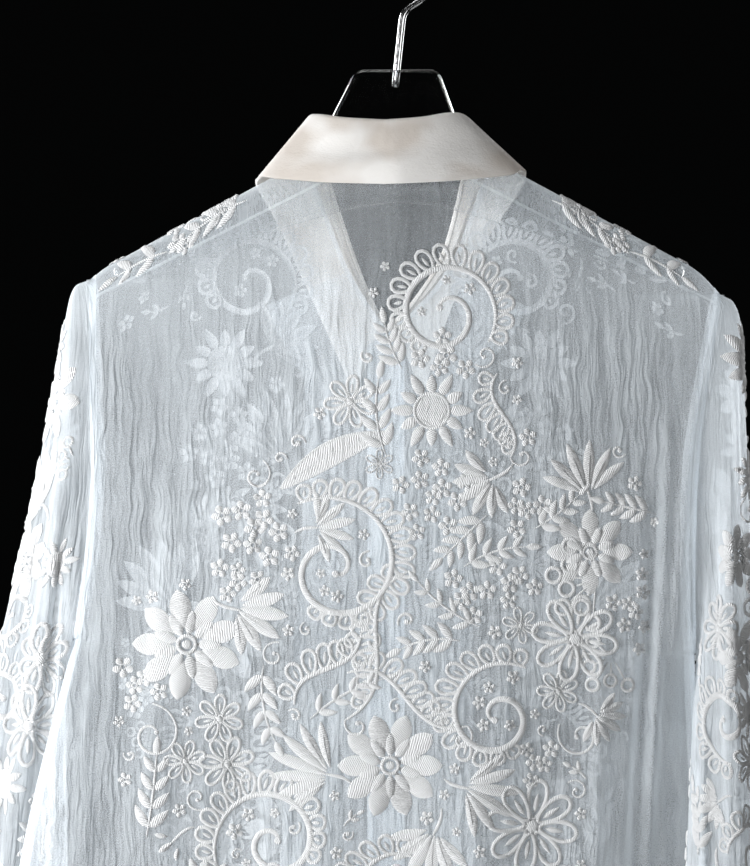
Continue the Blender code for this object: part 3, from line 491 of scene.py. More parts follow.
class Nodes:
    """A new node material and short ways to add to it."""

    def __init__(self, name):
        self.material = bpy.data.materials.new(name)
        self.material.use_nodes = True
        self.tree = self.material.node_tree
        self.tree.nodes.clear()
        self.output = self.add("ShaderNodeOutputMaterial")

    def add(self, kind, inputs=None, **settings):
        """A node with its settings, and each input linked or given a value."""
        node = self.tree.nodes.new(kind)
        for key, value in settings.items():
            setattr(node, key, value)
        for key, value in (inputs or {}).items():
            if isinstance(value, bpy.types.NodeSocket):
                self.tree.links.new(value, node.inputs[key])
            else:
                node.inputs[key].default_value = value
        return node

    def uv(self, scale):
        """The cloth's UV in metres, stretched by a scale for each axis."""
        source = self.add("ShaderNodeUVMap", uv_map="cloth")
        return self.add("ShaderNodeMapping", {"Vector": source.outputs["UV"], "Scale": scale}
                        ).outputs["Vector"]

    def noise(self, vector, scale, detail=2.0, rough=0.5, distortion=0.0):
        """Noise about 0.5 at a place."""
        return self.add("ShaderNodeTexNoise", {
            "Vector": vector, "Scale": scale, "Detail": detail, "Roughness": rough,
            "Distortion": distortion}).outputs["Fac"]

    def remap(self, value, low, high, to_low, to_high):
        """A value from one range in another, held to its ends."""
        return self.add("ShaderNodeMapRange", {
            "Value": value, "From Min": low, "From Max": high, "To Min": to_low,
            "To Max": to_high}).outputs["Result"]

    def math(self, operation, a, b=0.0, c=0.0):
        """A number from others by one operation."""
        return self.add("ShaderNodeMath", {0: a, 1: b, 2: c}, operation=operation).outputs[0]

    def times(self, a, b):
        """The product of two values."""
        return self.math("MULTIPLY", a, b)

    def total(self, first, *rest):
        """The sum of values."""
        for value in rest:
            first = self.math("ADD", first, value)
        return first

    def tint(self, share, first, second):
        """A colour between two, by a share from 0 to 1."""
        # The colour sockets of a Mix node are its inputs 6 and 7 and its output 2
        mix = self.add("ShaderNodeMix", {0: share}, data_type="RGBA")
        mix.inputs[6].default_value = (*first, 1.0)
        mix.inputs[7].default_value = (*second, 1.0)
        return mix.outputs[2]

    def mixed(self, share, first, second):
        """A shader between two, by a share from 0 to 1."""
        return self.add("ShaderNodeMixShader", {0: share, 1: first, 2: second}).outputs[0]

    def bump(self, height, strength, distance, normal=None):
        """A normal tilted by a height, on top of another normal if given."""
        inputs = {"Height": height, "Strength": strength, "Distance": distance}
        if normal is not None:
            inputs["Normal"] = normal
        return self.add("ShaderNodeBump", inputs).outputs["Normal"]

    def finish(self, shader):
        """Give the material its surface."""
        self.tree.links.new(shader, self.output.inputs["Surface"])
        return self.material


def sheer_material(name, cover_base, calm_above):
    """See-through crepe: crinkled threads that cover part of what is behind them.

    cover_base is the share that they cover at least; above the height calm_above, in the
    cloth's UV, the crinkles are faint.
    """
    made = Nodes(name)
    place = made.uv((1.0, 1.0, 1.0))
    sway = made.add("ShaderNodeTexNoise", {
        "Vector": made.uv((70.0, 38.0, 1.0)), "Scale": 1.0, "Detail": 1.0}).outputs["Color"]
    swayed = made.add("ShaderNodeVectorMath", {
        0: sway, 1: (0.0085, 0.0085, 0.0), 2: place}, operation="MULTIPLY_ADD").outputs[0]

    def stretched(x, y):
        """The swayed place, scaled across and along the cloth."""
        return made.add("ShaderNodeVectorMath", {0: swayed, 1: (x, y, 1.0)},
                        operation="MULTIPLY").outputs[0]

    def ridges(value, sharpness):
        """Narrow lines where the noise passes its middle."""
        away = made.math("ABSOLUTE", made.math("SUBTRACT", value, 0.5))
        return made.math("MAXIMUM", made.math("SUBTRACT", 1.0, made.times(away, sharpness)), 0.0)

    def about_middle(value, amount):
        """A noise moved to lie about 0, and scaled."""
        return made.times(made.math("SUBTRACT", value, 0.5), amount)

    swell = made.noise(stretched(190.0, 17.0), 1.0, 1.0, 0.5)
    crease = ridges(made.noise(stretched(105.0, 11.0), 1.0, 2.0, 0.5), 9.0)
    fine = ridges(made.noise(stretched(300.0, 28.0), 1.0, 2.0, 0.55), 10.0)
    patches = made.noise(made.uv((26.0, 9.0, 1.0)), 1.0, 2.0, 0.5)
    grain = made.noise(made.uv((1150.0, 1350.0, 1.0)), 1.0, 1.0, 0.6)
    strength = made.remap(patches, 0.38, 0.62, 0.45, 1.0)
    height_on_cloth = made.add("ShaderNodeSeparateXYZ", {0: place}).outputs["Y"]
    strength = made.times(strength, made.remap(
        height_on_cloth, calm_above - 0.10, calm_above, 1.0, 0.20))
    lines = made.total(made.times(crease, 0.6), made.times(fine, 0.25))
    form = made.times(strength, made.total(made.times(swell, 3.0), lines))
    normal = made.bump(made.total(form, made.times(grain, 0.25)), 1.0, 0.0022)
    thicker = made.times(strength, made.total(made.times(lines, 0.09), about_middle(swell, 0.20)))
    edge_on = made.add("ShaderNodeLayerWeight", {"Blend": 0.30}).outputs["Facing"]
    coverage = made.total(thicker, cover_base, about_middle(grain, 0.26),
                          about_middle(patches, 0.10), made.times(edge_on, 0.50))
    coverage = made.math("MAXIMUM", made.math("MINIMUM", coverage, 0.96), 0.05)
    shine = made.add("ShaderNodeBsdfPrincipled", {
        "Base Color": CREPE_COLOUR, "Roughness": 0.6, "Specular IOR Level": 0.4,
        "Sheen Weight": 0.35, "Sheen Roughness": 0.4, "Normal": normal}).outputs[0]
    through = made.add("ShaderNodeBsdfTranslucent", {
        "Color": CREPE_COLOUR, "Normal": normal}).outputs[0]
    clear = made.add("ShaderNodeBsdfTransparent").outputs[0]
    return made.finish(made.mixed(coverage, clear, made.mixed(THROUGH_SHARE, shine, through)))


def collar_material():
    """Ivory crepe with a soft lustre, too dense to see through, with patches of painted warm shade."""
    made = Nodes("collar_crepe")
    fine = made.noise(made.uv((1000.0, 700.0, 1.0)), 1.0, 2.0, 0.65)
    slub = made.noise(made.uv((520.0, 260.0, 1.0)), 1.0, 2.0, 0.5)
    cloud = made.noise(made.uv((30.0, 22.0, 1.0)), 1.0, 2.0, 0.5)
    height = made.total(made.times(fine, 0.5), made.times(slub, 0.5))
    soft = made.bump(cloud, 0.35, 0.0040)
    normal = made.bump(height, 0.6, 0.0008, soft)
    # The darker tan patches, placed at random by the cloud noise, are painted shade: they stand in for
    # the warm, dim light in the leaf's hollow
    tint = made.tint(made.remap(cloud, 0.36, 0.54, 0.0, 1.0), (0.58, 0.54, 0.50), (0.73, 0.72, 0.705))
    shine = made.add("ShaderNodeBsdfPrincipled", {
        "Base Color": tint, "Roughness": 0.5, "Specular IOR Level": 0.35,
        "Sheen Weight": 0.3, "Sheen Roughness": 0.4, "Normal": normal}).outputs[0]
    through = made.add("ShaderNodeBsdfTranslucent", {"Color": tint, "Normal": normal}).outputs[0]
    return made.finish(made.mixed(THROUGH_SHARE, shine, through))


def thread_material():
    """Satin stitch: ribs of thread across each strip, a little uneven."""
    made = Nodes("embroidery_thread")
    place = made.uv((1.0, 1.0, 1.0))
    ribs = made.add("ShaderNodeTexWave", {
        "Vector": place, "Scale": WAVES_AT_SCALE_1 / THREAD_PITCH, "Distortion": 2.4, "Detail": 1.0,
        "Detail Scale": 1.2}, bands_direction="X").outputs["Fac"]
    fluff = made.noise(made.uv((800.0, 800.0, 1.0)), 1.0, 2.0, 0.6)
    height = made.total(ribs, made.times(fluff, 0.8))
    normal = made.bump(height, 1.0, 0.0008)
    return made.finish(made.add("ShaderNodeBsdfPrincipled", {
        "Base Color": (0.70, 0.712, 0.725, 1.0), "Roughness": 0.55, "Specular IOR Level": 0.3,
        "Sheen Weight": 0.15, "Sheen Roughness": 0.4, "Normal": normal}).outputs[0])


def clear_material():
    """Clear acrylic with faint wear."""
    made = Nodes("clear_acrylic")
    source = made.add("ShaderNodeTexCoord").outputs["Object"]
    wear = made.noise(source, 60.0, 4.0, 0.6)
    rough = made.remap(wear, 0.4, 0.75, 0.015, 0.07)
    return made.finish(made.add("ShaderNodeBsdfPrincipled", {
        "Base Color": (0.97, 0.985, 0.99, 1.0), "Roughness": rough, "IOR": 1.49,
        "Transmission Weight": 1.0}).outputs[0])


def metal_material():
    """Polished steel wire with fine drawn marks."""
    made = Nodes("hook_metal")
    source = made.add("ShaderNodeTexCoord").outputs["Object"]
    stretched = made.add("ShaderNodeMapping", {"Vector": source, "Scale": (900.0, 900.0, 60.0)})
    marks = made.noise(stretched.outputs["Vector"], 1.0, 3.0, 0.6)
    return made.finish(made.add("ShaderNodeBsdfPrincipled", {
        "Base Color": (0.78, 0.79, 0.80, 1.0), "Metallic": 1.0,
        "Roughness": made.remap(marks, 0.3, 0.7, 0.12, 0.26),
        "Normal": made.bump(marks, 0.15, 0.0002)}).outputs[0])


def shell_material():
    """Pale shell buttons with soft clouds of lustre."""
    made = Nodes("button_shell")
    source = made.add("ShaderNodeTexCoord").outputs["Object"]
    cloud = made.noise(source, 420.0, 3.0, 0.5, 1.5)
    return made.finish(made.add("ShaderNodeBsdfPrincipled", {
        "Base Color": made.tint(cloud, (0.80, 0.80, 0.76), (0.93, 0.92, 0.90)),
        "Roughness": 0.22, "Coat Weight": 0.5, "Coat Roughness": 0.1,
        "Normal": made.bump(cloud, 0.1, 0.0003)}).outputs[0])


def floor_material():
    """Pale matt studio floor."""
    made = Nodes("floor_pale")
    source = made.add("ShaderNodeTexCoord").outputs["Object"]
    cloud = made.noise(source, 3.0, 3.0, 0.5)
    return made.finish(made.add("ShaderNodeBsdfPrincipled", {
        "Base Color": made.tint(cloud, (0.56, 0.56, 0.55), (0.62, 0.62, 0.61)),
        "Roughness": 0.85}).outputs[0])


# Cut pieces of cloth

# Rows and columns of the grids of points
BACK_GRID = (230, 250)
FRONT_COLUMNS = 110
OVER_ROWS, BEND_ROWS, NECK_ROWS, LOWER_ROWS = 12, 6, 70, 150
BEND_DROP, NECK_PORTION = 0.0058, 0.18   # how far down the front those rows reach
SLEEVE_GRID = (210, 132)
FACING_COLUMNS = int(FRONT_COLUMNS * FACING_SHARE) + 1

SEAM_HALF_WIDTH, SEAM_LIFT = 0.0010, 0.0007
SEAM_ENDS = (-0.2105, 0.202)
ARMHOLE_BAND_INSIDE = (0.0024, 0.0012, 0.0002)   # from a body's edge to the band's rows


def neckline_z(x):
    """Height of the back neckline."""
    return NECKLINE_Z + NECKLINE_RISE * (x / NECK_POINT_X) ** 2


def back_top_z(x):
    """Top edge of the back: the neckline, then the shoulder seams behind the ridge."""
    out = np.abs(x)
    return np.where(out <= SEAM_X, neckline_z(x), SEAM_Z - (out - SEAM_X) * SEAM_SLOPE)


def back_places():
    """X and Z of the back panel's grid, from its top edge to the hem."""
    rows, columns = BACK_GRID
    x_top = np.linspace(side_top_x(-1), side_top_x(1), columns + 1)
    share = (np.arange(rows + 1) / rows)[:, None] ** 1.1
    z_top = back_top_z(x_top) - SEAM_HALF_GAP
    z = z_top + (HEM_Z - z_top) * share
    x = np.empty_like(z)
    for side in (1, -1):
        here = (x_top >= CENTRE_X) if side > 0 else (x_top < CENTRE_X)
        out = (x_top[here] - CENTRE_X) / (side_top_x(side) - CENTRE_X)
        spread = np.maximum(0.0, (out - 0.3) / 0.7) ** 1.5
        x[:, here] = x_top[here] + (side_x(side, z[:, here]) - side_top_x(side)) * spread
    return x, z


def front_grid(side):
    """Points and UV of a front panel: from the seam behind the shoulder to the hem."""
    edge, reach = (LEFT_NECK, LEFT_FRONT_REACH) if side > 0 else (RIGHT_NECK, RIGHT_FRONT_REACH)
    share = np.linspace(0.0, 1.0, FRONT_COLUMNS + 1)
    width = abs(side_top_x(side)) - NECK_POINT_X
    ridge_x = side * (NECK_POINT_X + width * share)
    seam_x = side * (SEAM_X + (abs(side_top_x(side)) - SEAM_X) * share)
    points, coords = [], []
    for over in np.linspace(1.0, 0.0, OVER_ROWS + 1)[:-1] ** 1.6:
        z_seam = back_top_z(seam_x) + SEAM_HALF_GAP
        z = ridge_z(ridge_x) + (z_seam - ridge_z(ridge_x)) * over
        x = ridge_x + (seam_x - ridge_x) * over
        x = x + (side_x(side, z) - side_top_x(side)) * share ** 8
        points.append(cover(x, z, "back"))
        coords.append(np.stack((x, 2 * ridge_z(ridge_x) - z), axis=-1))
    bend = BEND_DROP * (np.arange(BEND_ROWS) / BEND_ROWS) ** 2
    neck = NECK_PORTION * np.arange(NECK_ROWS + 1) / NECK_ROWS
    lower = NECK_PORTION + (1 - NECK_PORTION) * (np.arange(1, LOWER_ROWS + 1) / LOWER_ROWS) ** 1.08
    totals = ridge_z(ridge_x) - HEM_Z
    steps = [np.full_like(totals, fall) for fall in bend]
    steps += [BEND_DROP + (totals - BEND_DROP) * s for s in np.concatenate((neck, lower))]
    for fall in steps:
        z = ridge_z(ridge_x) - fall
        inner_x = float(edge.at(-z[0], "x")) if z[0] > NECK_END_Z else reach
        x = inner_x + (side_x(side, z[-1]) - inner_x) * share
        points.append(cover(x, z, front_of(side)))
        coords.append(np.stack((x, z), axis=-1))
    return np.array(points), np.array(coords)


def sleeve_grid(side):
    """Points of a sleeve as a grid: along it from the armhole, and round it."""
    table = LEFT_SLEEVE if side > 0 else RIGHT_SLEEVE
    rows, columns = SLEEVE_GRID
    t = ((np.arange(rows + 1) / rows) ** 1.25)[:, None]
    at = {name: table.at(t, name) for name in table.names}
    first = {name: float(table.at(0.0, name)) for name in table.names}
    # The grid opens at the underarm seam
    angle = (math.pi + np.linspace(0.0, 2 * math.pi, columns + 1))[None, :]
    cos, sin = np.cos(angle), np.sin(angle)
    middle = np.stack(((at["outer_x"] + at["inner_x"]) / 2, at["centre_y"],
                       (at["outer_z"] + at["inner_z"]) / 2), axis=-1)
    arm = np.stack((at["outer_x"], at["centre_y"], at["outer_z"]), axis=-1) - middle
    length = np.linalg.norm(arm, axis=-1, keepdims=True)
    point = middle + arm * cos[..., None]
    point[..., 1] += at["half_depth"] * sin
    outward = arm / length * (cos * at["half_depth"])[..., None]
    outward[..., 1] += length[..., 0] * sin
    outward /= np.linalg.norm(outward, axis=-1, keepdims=True)
    wave = 0.6 * np.sin(5 * angle + 0.6) + 0.4 * np.sin(8 * angle + 2.0)
    height = 0.005 * smooth(t / 0.3) * smooth((cos + 1.0) / 0.5) * wave
    for start, t_start, end, t_end, wide, high in SLEEVE_CREASES:
        along = (t - t_start) / (t_end - t_start)
        centre = start + (end - start) * along
        turn = (angle - centre + math.pi) % (2 * math.pi) - math.pi
        ending = smooth((1.0 - along) / 0.3) if t_end < 1.0 else 1.0
        height = height + np.where((along > 0) & (along <= 1), high * np.exp(-(turn / wide) ** 2)
                                   * smooth(along / 0.25) * ending, 0.0)
    point += outward * height[..., None]
    to_armhole = 1.0 - smooth(t / 0.2)
    mid_x, mid_z = (first["outer_x"] + first["inner_x"]) / 2, (first["outer_z"] + first["inner_z"]) / 2
    start = np.stack(np.broadcast_arrays(
        mid_x + (first["outer_x"] - mid_x) * cos, first["centre_y"] + first["half_depth"] * sin,
        mid_z + (first["outer_z"] - mid_z) * cos), axis=-1)
    z = mid_z + (first["outer_z"] - mid_z) * cos
    half = armhole_half_depth(side, np.minimum(z, first["outer_z"]))
    sewn = np.stack((side_x(side, z) + side * ARMHOLE_GAP,
                     side_swing(side, z) + np.where(sin >= 0, half, -half), z), axis=-1)
    return point + (sewn - start) * to_armhole[..., None]


def metric_uv(points):
    """UV of a grid by its mean lengths across and along, in metres."""
    across = np.linalg.norm(np.diff(points, axis=1), axis=-1).mean(axis=0)
    along = np.linalg.norm(np.diff(points, axis=0), axis=-1).mean(axis=1)
    u = np.concatenate(([0.0], np.cumsum(across)))[None, :]
    v = np.concatenate(([0.0], np.cumsum(along)))[:, None]
    return np.stack(np.broadcast_arrays(u, -v), axis=-1)


def hanging_uv(points):
    """UV of a sleeve whose second axis is height, so that the crepe's lines hang down."""
    outer, inner = points[:, points.shape[1] // 2], points[:, 0]
    order_out, order_in = np.argsort(outer[:, 2]), np.argsort(inner[:, 2])
    z = points[..., 2]
    far = np.interp(z, outer[order_out, 2], outer[order_out, 0])
    near = np.interp(z, inner[order_in, 2], inner[order_in, 0])
    middle_y = points[..., 1].mean(axis=1, keepdims=True)
    angle = np.arctan2(points[..., 1] - middle_y, (points[..., 0] - (far + near) / 2) * np.sign(far))
    return np.stack((0.05 * angle, z), axis=-1)


def armhole_band(side, sleeve, outward):
    """The seam that joins a sleeve to the body, from the body's edge to the sleeve's top."""
    z = sleeve[0, :, 2]
    behind = sleeve[0, :, 1] >= side_swing(side, z)
    rows = []
    for inside in ARMHOLE_BAND_INSIDE:
        x = side_x(side, z) - side * inside
        faces = [cover(x, z, panel, 0.0006) for panel in ("back", front_of(side))]
        rows.append(np.where(behind[:, None], faces[0], faces[1]))
    raised = moved(sleeve, 0.0007 * outward)
    return np.array(rows + [raised[1], raised[2]])


def make_cloth(sheer, dense, sleeve_sheer):
    """The back, fronts, facings and sleeves, with their seams and hems; gives their points."""
    made, trims = {}, {}

    def trim(piece, strip, uv=None):
        """Keep a strip of folded cloth for a piece's seams and hems."""
        trims.setdefault(piece, []).append((strip, metric_uv(strip) if uv is None else uv))

    x, z = back_places()
    back = cover(x, z, "back")
    made["back"] = (back, np.stack((x, z), axis=-1), sheer)
    trim("back", moved(back[-5:], 0.0005))
    for edge in (back[:, :4], back[:, -4:]):
        trim("back", moved(edge, 0.0004))
    seam_x = np.linspace(*SEAM_ENDS, 160)
    offsets = np.linspace(SEAM_HALF_WIDTH, -SEAM_HALF_WIDTH, 3)[:, None]
    for part in (seam_x[seam_x < -0.030], seam_x[seam_x > 0.030]):
        trim("back", cover(np.broadcast_to(part, (3, len(part))), back_top_z(part) + offsets, "back",
                           SEAM_LIFT))

    for side, name in SIDES:
        front, facing, sleeve_name = "front_" + name, "facing_" + name, "sleeve_" + name
        points, uv = front_grid(side)
        made[front] = (points, uv, sheer)
        trim(front, moved(points[-4:], -0.0005 * side))
        for edge in (points[:, -4:], points[20:, :3]):
            trim(front, moved(edge, -0.0004 * side))
        first = int(np.argmax(points[:, 0, 2] < FACING_TOP_Z))
        inner = moved(points, FACING_OFFSET * side)[first:, :FACING_COLUMNS]
        made[facing] = (inner, uv[first:, :FACING_COLUMNS], sheer)
        sleeve = sleeve_grid(side)
        made[sleeve_name] = (sleeve, hanging_uv(sleeve), sleeve_sheer)
        row, column = SLEEVE_GRID[0] // 2, SLEEVE_GRID[1] // 2
        from_middle = sleeve[row, column] - sleeve[row].mean(axis=0)
        outward = np.sign(np.sum(grid_normals(sleeve)[row, column] * from_middle))
        trim(sleeve_name, moved(sleeve[-5:], 0.0006 * outward))
        armhole = armhole_band(side, sleeve, outward)
        trim(sleeve_name, armhole, hanging_uv(armhole))
        trim(sleeve_name, moved(sleeve[:, :3], 0.0004 * outward))

    cloth = {name: add_object("cloth_" + name, grid_mesh("cloth_" + name, points, uv), material,
                              "sheer_cloth", name)
             for name, (points, uv, material) in made.items()}
    seams = {name: add_object("seams_" + name, joined_grids("seams_" + name, *zip(*strips)), dense,
                              "sheer_cloth")
             for name, strips in trims.items()}
    return {name: points for name, (points, _, _) in made.items()}


# Collar

def collar_parts(side, table, u):
    """The points and directions that place one section of the collar."""
    at = {name: float(table.at(u, name)) for name in table.names}
    flat = float(smooth((u - LYING_FROM) / (LYING_BY - LYING_FROM)))
    radius = BACK_ROLL + (FRONT_ROLL - BACK_ROLL) * flat
    standing = Vector((at["fold_x"], at["fold_y"], at["fold_z"]))
    lying = Vector(cover(at["fold_x"], at["fold_z"], "front_right", FRONT_ROLL + 0.0006, False))
    fold = standing.lerp(lying, flat)
    panel = "back" if u < 0.5 else "front_right"
    edge = Vector(cover(at["edge_x"], at["edge_z"], panel, at["lift"], False))
    rim = Vector((at["edge_x"], 0.0, float(ridge_z(at["edge_x"])) + at["lift"]))
    near_ridge = max(0.0, 1.0 - abs(u - 0.5) / 0.06)
    edge = edge.lerp(rim, float(smooth(near_ridge)))
    along = (edge - fold).normalized()
    aside = Vector((side, 0, 0.9)).normalized()
    if u < 0.5:
        guide = Vector((0, 1, 0)).lerp(aside, u / 0.5)
    else:
        guide = aside.lerp(Vector((0, -1, 0)), float(smooth((u - 0.5) / 0.2)))
    outward = (guide - along * guide.dot(along)).normalized()
    return at, fold, edge, along, outward, radius, flat


def leaf_section(side, table, u, fall_steps=22, roll_steps=9):
    """Points across the collar leaf: round the fold, then down to the outer edge."""
    at, fold, edge, along, outward, radius, flat = collar_parts(side, table, u)
    points = []
    for i in range(roll_steps + 1):
        turn = math.pi * i / roll_steps
        points.append(fold - outward * radius * math.cos(turn) - along * radius * math.sin(turn))
    start = points[-1]
    share = np.arange(1, fall_steps + 1) / fall_steps
    x = start.x + (edge.x - start.x) * share
    z = start.z + (edge.z - start.z) * share
    laid = cover(x, z, "front_right", 0.0040 + 0.0006 * np.sin(math.pi * share), False)
    bulge = 0.0030 * (1.0 - smooth(u / 0.42))
    hollow = 0.0060 * (1.0 - smooth(u / 0.45)) * (1.0 + 0.25 * math.sin(9.0 * u * side))
    for s, place in zip(share, laid):
        bow = (bulge * math.sin(math.pi * s)
               - hollow * math.exp(-((s - 0.40 - 0.10 * math.sin(5.0 * u * side)) / 0.20) ** 2))
        bowed = start.lerp(edge, float(s)) + outward * bow
        points.append(bowed.lerp(Vector(place), flat))
    return points


def stand_section(side, table, u, steps=8):
    """Points across the collar stand, from the neckline to just under the fold."""
    at, fold, edge, along, outward, radius, flat = collar_parts(side, table, u)
    if u <= 0.5:
        x = at["neck_x"]
        foot = Vector(cover(x, neckline_z(x), "back", 0.0, False))
    else:
        neck = LEFT_NECK if side > 0 else RIGHT_NECK
        low, high = neck.rows[0, 0], neck.rows[-1, 0]
        for _ in range(30):
            middle = (low + high) / 2
            further = (float(neck.at(middle, "x")) - at["neck_x"]) * side > 0
            low, high = (middle, high) if further else (low, middle)
        foot = Vector(cover(at["neck_x"], -low, "front_right", 0.0, False))
    head = fold - outward * radius + along * 0.0010
    start = foot + (head - foot).normalized() * 0.0022
    points = []
    for i in range(steps + 1):
        s = i / steps
        points.append(start.lerp(head, s) + outward * -0.0008 * (1.0 - flat) * math.sin(math.pi * s))
    return points


def both_halves(section, end, count):
    """Sections along a whole collar piece, from the right front end to the left one."""
    steps = [end * i / count for i in range(count + 1)]
    right = [section(-1, RIGHT_COLLAR, u) for u in reversed(steps[1:])]
    left = [section(1, LEFT_COLLAR, u) for u in steps]
    return np.array([[tuple(p) for p in row] for row in right + left])


def thick_grid(name, points, wall, uv):
    """Closed thin piece round a grid of points, with softened edges."""
    mesh = grid_mesh(name, points, uv)
    obj = new_object(name + "_form", mesh)
    thick = obj.modifiers.new("thickness", "SOLIDIFY")
    thick.thickness, thick.offset = wall, 0.0
    edge = obj.modifiers.new("edge", "BEVEL")
    edge.width, edge.segments = wall * 0.42, 3
    edge.limit_method, edge.angle_limit = "ANGLE", math.radians(50)
    made = evaluated_mesh(obj)
    made.name = name
    made.polygons.foreach_set("use_smooth", np.ones(len(made.polygons), dtype=bool))
    return made


def make_collar(material):
    """The turned-down leaf and the stand under it."""
    sections = {"collar_leaf": leaf_section, "collar_stand": stand_section}
    for name, end, steps, wall, length, held in COLLAR_PIECES:
        points = both_halves(sections[name], end, steps)
        mesh = thick_grid(name, points, wall, metric_uv(points))
        obj = add_object(name + "_cloth", mesh, material, "collar_cloth", name)


# Hanger and buttons

def hanger_plate_mesh():
    """The clear plate: rounded outline, rounded edges."""
    left_neck = [(left, z) for z, left, right in PLATE_NECK]
    right_neck = [(right, z) for z, left, right in PLATE_NECK]
    arm = [0.072 + (ARM_REACH - 0.072) * i / 30 for i in range(31)]
    left_arm = [(x, float(ridge_z(x)) - PLATE_REST) for x in arm]
    right_arm = [(-x, z) for x, z in left_arm]
    end_z = float(ridge_z(ARM_REACH))
    tip = [(ARM_REACH + 0.003, end_z - 0.008), (ARM_REACH - 0.002, end_z - 0.014)]
    left_under = tip + list(PLATE_UNDERSIDE)
    right_under = [(-x, z) for x, z in reversed(left_under[:-1])]
    outline = (left_neck + [(0.0600, -0.1385)] + left_arm + left_under + right_under
               + list(reversed(right_arm)) + [(-0.0560, -0.1375)] + list(reversed(right_neck)))
    # Corners are cut twice, which rounds them, with the cut held to a few millimetres
    for reach in (0.0035, 0.0012):
        softened = []
        for before, here, after in zip(outline[-1:] + outline[:-1], outline, outline[1:] + outline[:1]):
            corner = Vector(here)
            for other in (Vector(before), Vector(after)):
                side = other - corner
                softened.append(tuple(corner + side * min(0.25, reach / max(side.length, 1e-6))))
        outline = softened
    data = bpy.data.curves.new("plate_outline", "CURVE")
    data.dimensions, data.fill_mode = "2D", "BOTH"
    data.extrude = PLATE_THICKNESS / 2 - PLATE_BEVEL
    data.bevel_depth, data.bevel_resolution, data.offset = PLATE_BEVEL, 4, -PLATE_BEVEL
    line = data.splines.new("POLY")
    line.points.add(len(outline) - 1)
    for point, (x, z) in zip(line.points, outline):
        point.co = (x, z, 0.0, 1.0)
    line.use_cyclic_u = True
    mesh = evaluated_mesh(new_object("plate_outline", data))
    work = bmesh.new()
    work.from_mesh(mesh)
    bmesh.ops.remove_doubles(work, verts=work.verts, dist=0.00002)
    for vert in work.verts:
        vert.co = Vector((vert.co.x, -vert.co.z, vert.co.y))
    bmesh.ops.recalc_face_normals(work, faces=work.faces)
    for face in work.faces:
        face.smooth = True
    work.to_mesh(mesh)
    work.free()
    mesh.set_sharp_from_angle(angle=math.radians(32))
    return mesh


def hook_mesh():
    """The wire hook: a leaning rod, a side bend and an arc over the rail."""
    centre_z = -HOOK_RADIUS + WIRE_RADIUS
    foot, top = Vector(ROD_FOOT), Vector(ROD_TOP)
    lean = (top - foot).normalized()
    join = Vector((-HOOK_RADIUS, 0.0, centre_z))
    points = [foot.lerp(top, i / 6) for i in range(6)]
    handle_a = top + lean * 0.012
    handle_b = join - Vector((0.0, 0.0, 0.014))
    for i in range(17):
        t = i / 16
        points.append(top * (1 - t) ** 3 + handle_a * 3 * t * (1 - t) ** 2
                      + handle_b * 3 * t * t * (1 - t) + join * t ** 3)
    for i in range(1, 61):
        angle = math.radians(180.0 - 200.0 * i / 60)
        points.append(Vector((HOOK_RADIUS * math.cos(angle), 0.0,
                              centre_z + HOOK_RADIUS * math.sin(angle))))
    line = np.array([tuple(p) for p in points])
    along = np.gradient(line, axis=0)
    along /= np.linalg.norm(along, axis=-1, keepdims=True)
    across = np.tile(np.array((0.0, 1.0, 0.0)), (len(line), 1))
    other = np.cross(along, across)
    turn = np.linspace(0.0, 2 * math.pi, 24, endpoint=False)
    ring = across[:, None] * np.cos(turn)[None, :, None] + other[:, None] * np.sin(turn)[None, :, None]
    # The tip is rounded over by a few shrinking rings
    tube = line[:, None] + ring * WIRE_RADIUS
    cap = [line[-1] + along[-1] * WIRE_RADIUS * math.sin(a) + ring[-1] * WIRE_RADIUS * math.cos(a)
           for a in np.radians((20, 40, 60, 78, 88))]
    tube = np.concatenate((tube, np.array(cap)))
    mesh = mesh_from("hanger_hook_wire", tube, grid_faces(len(tube), 24, around=True))
    close_rims(mesh)
    return mesh


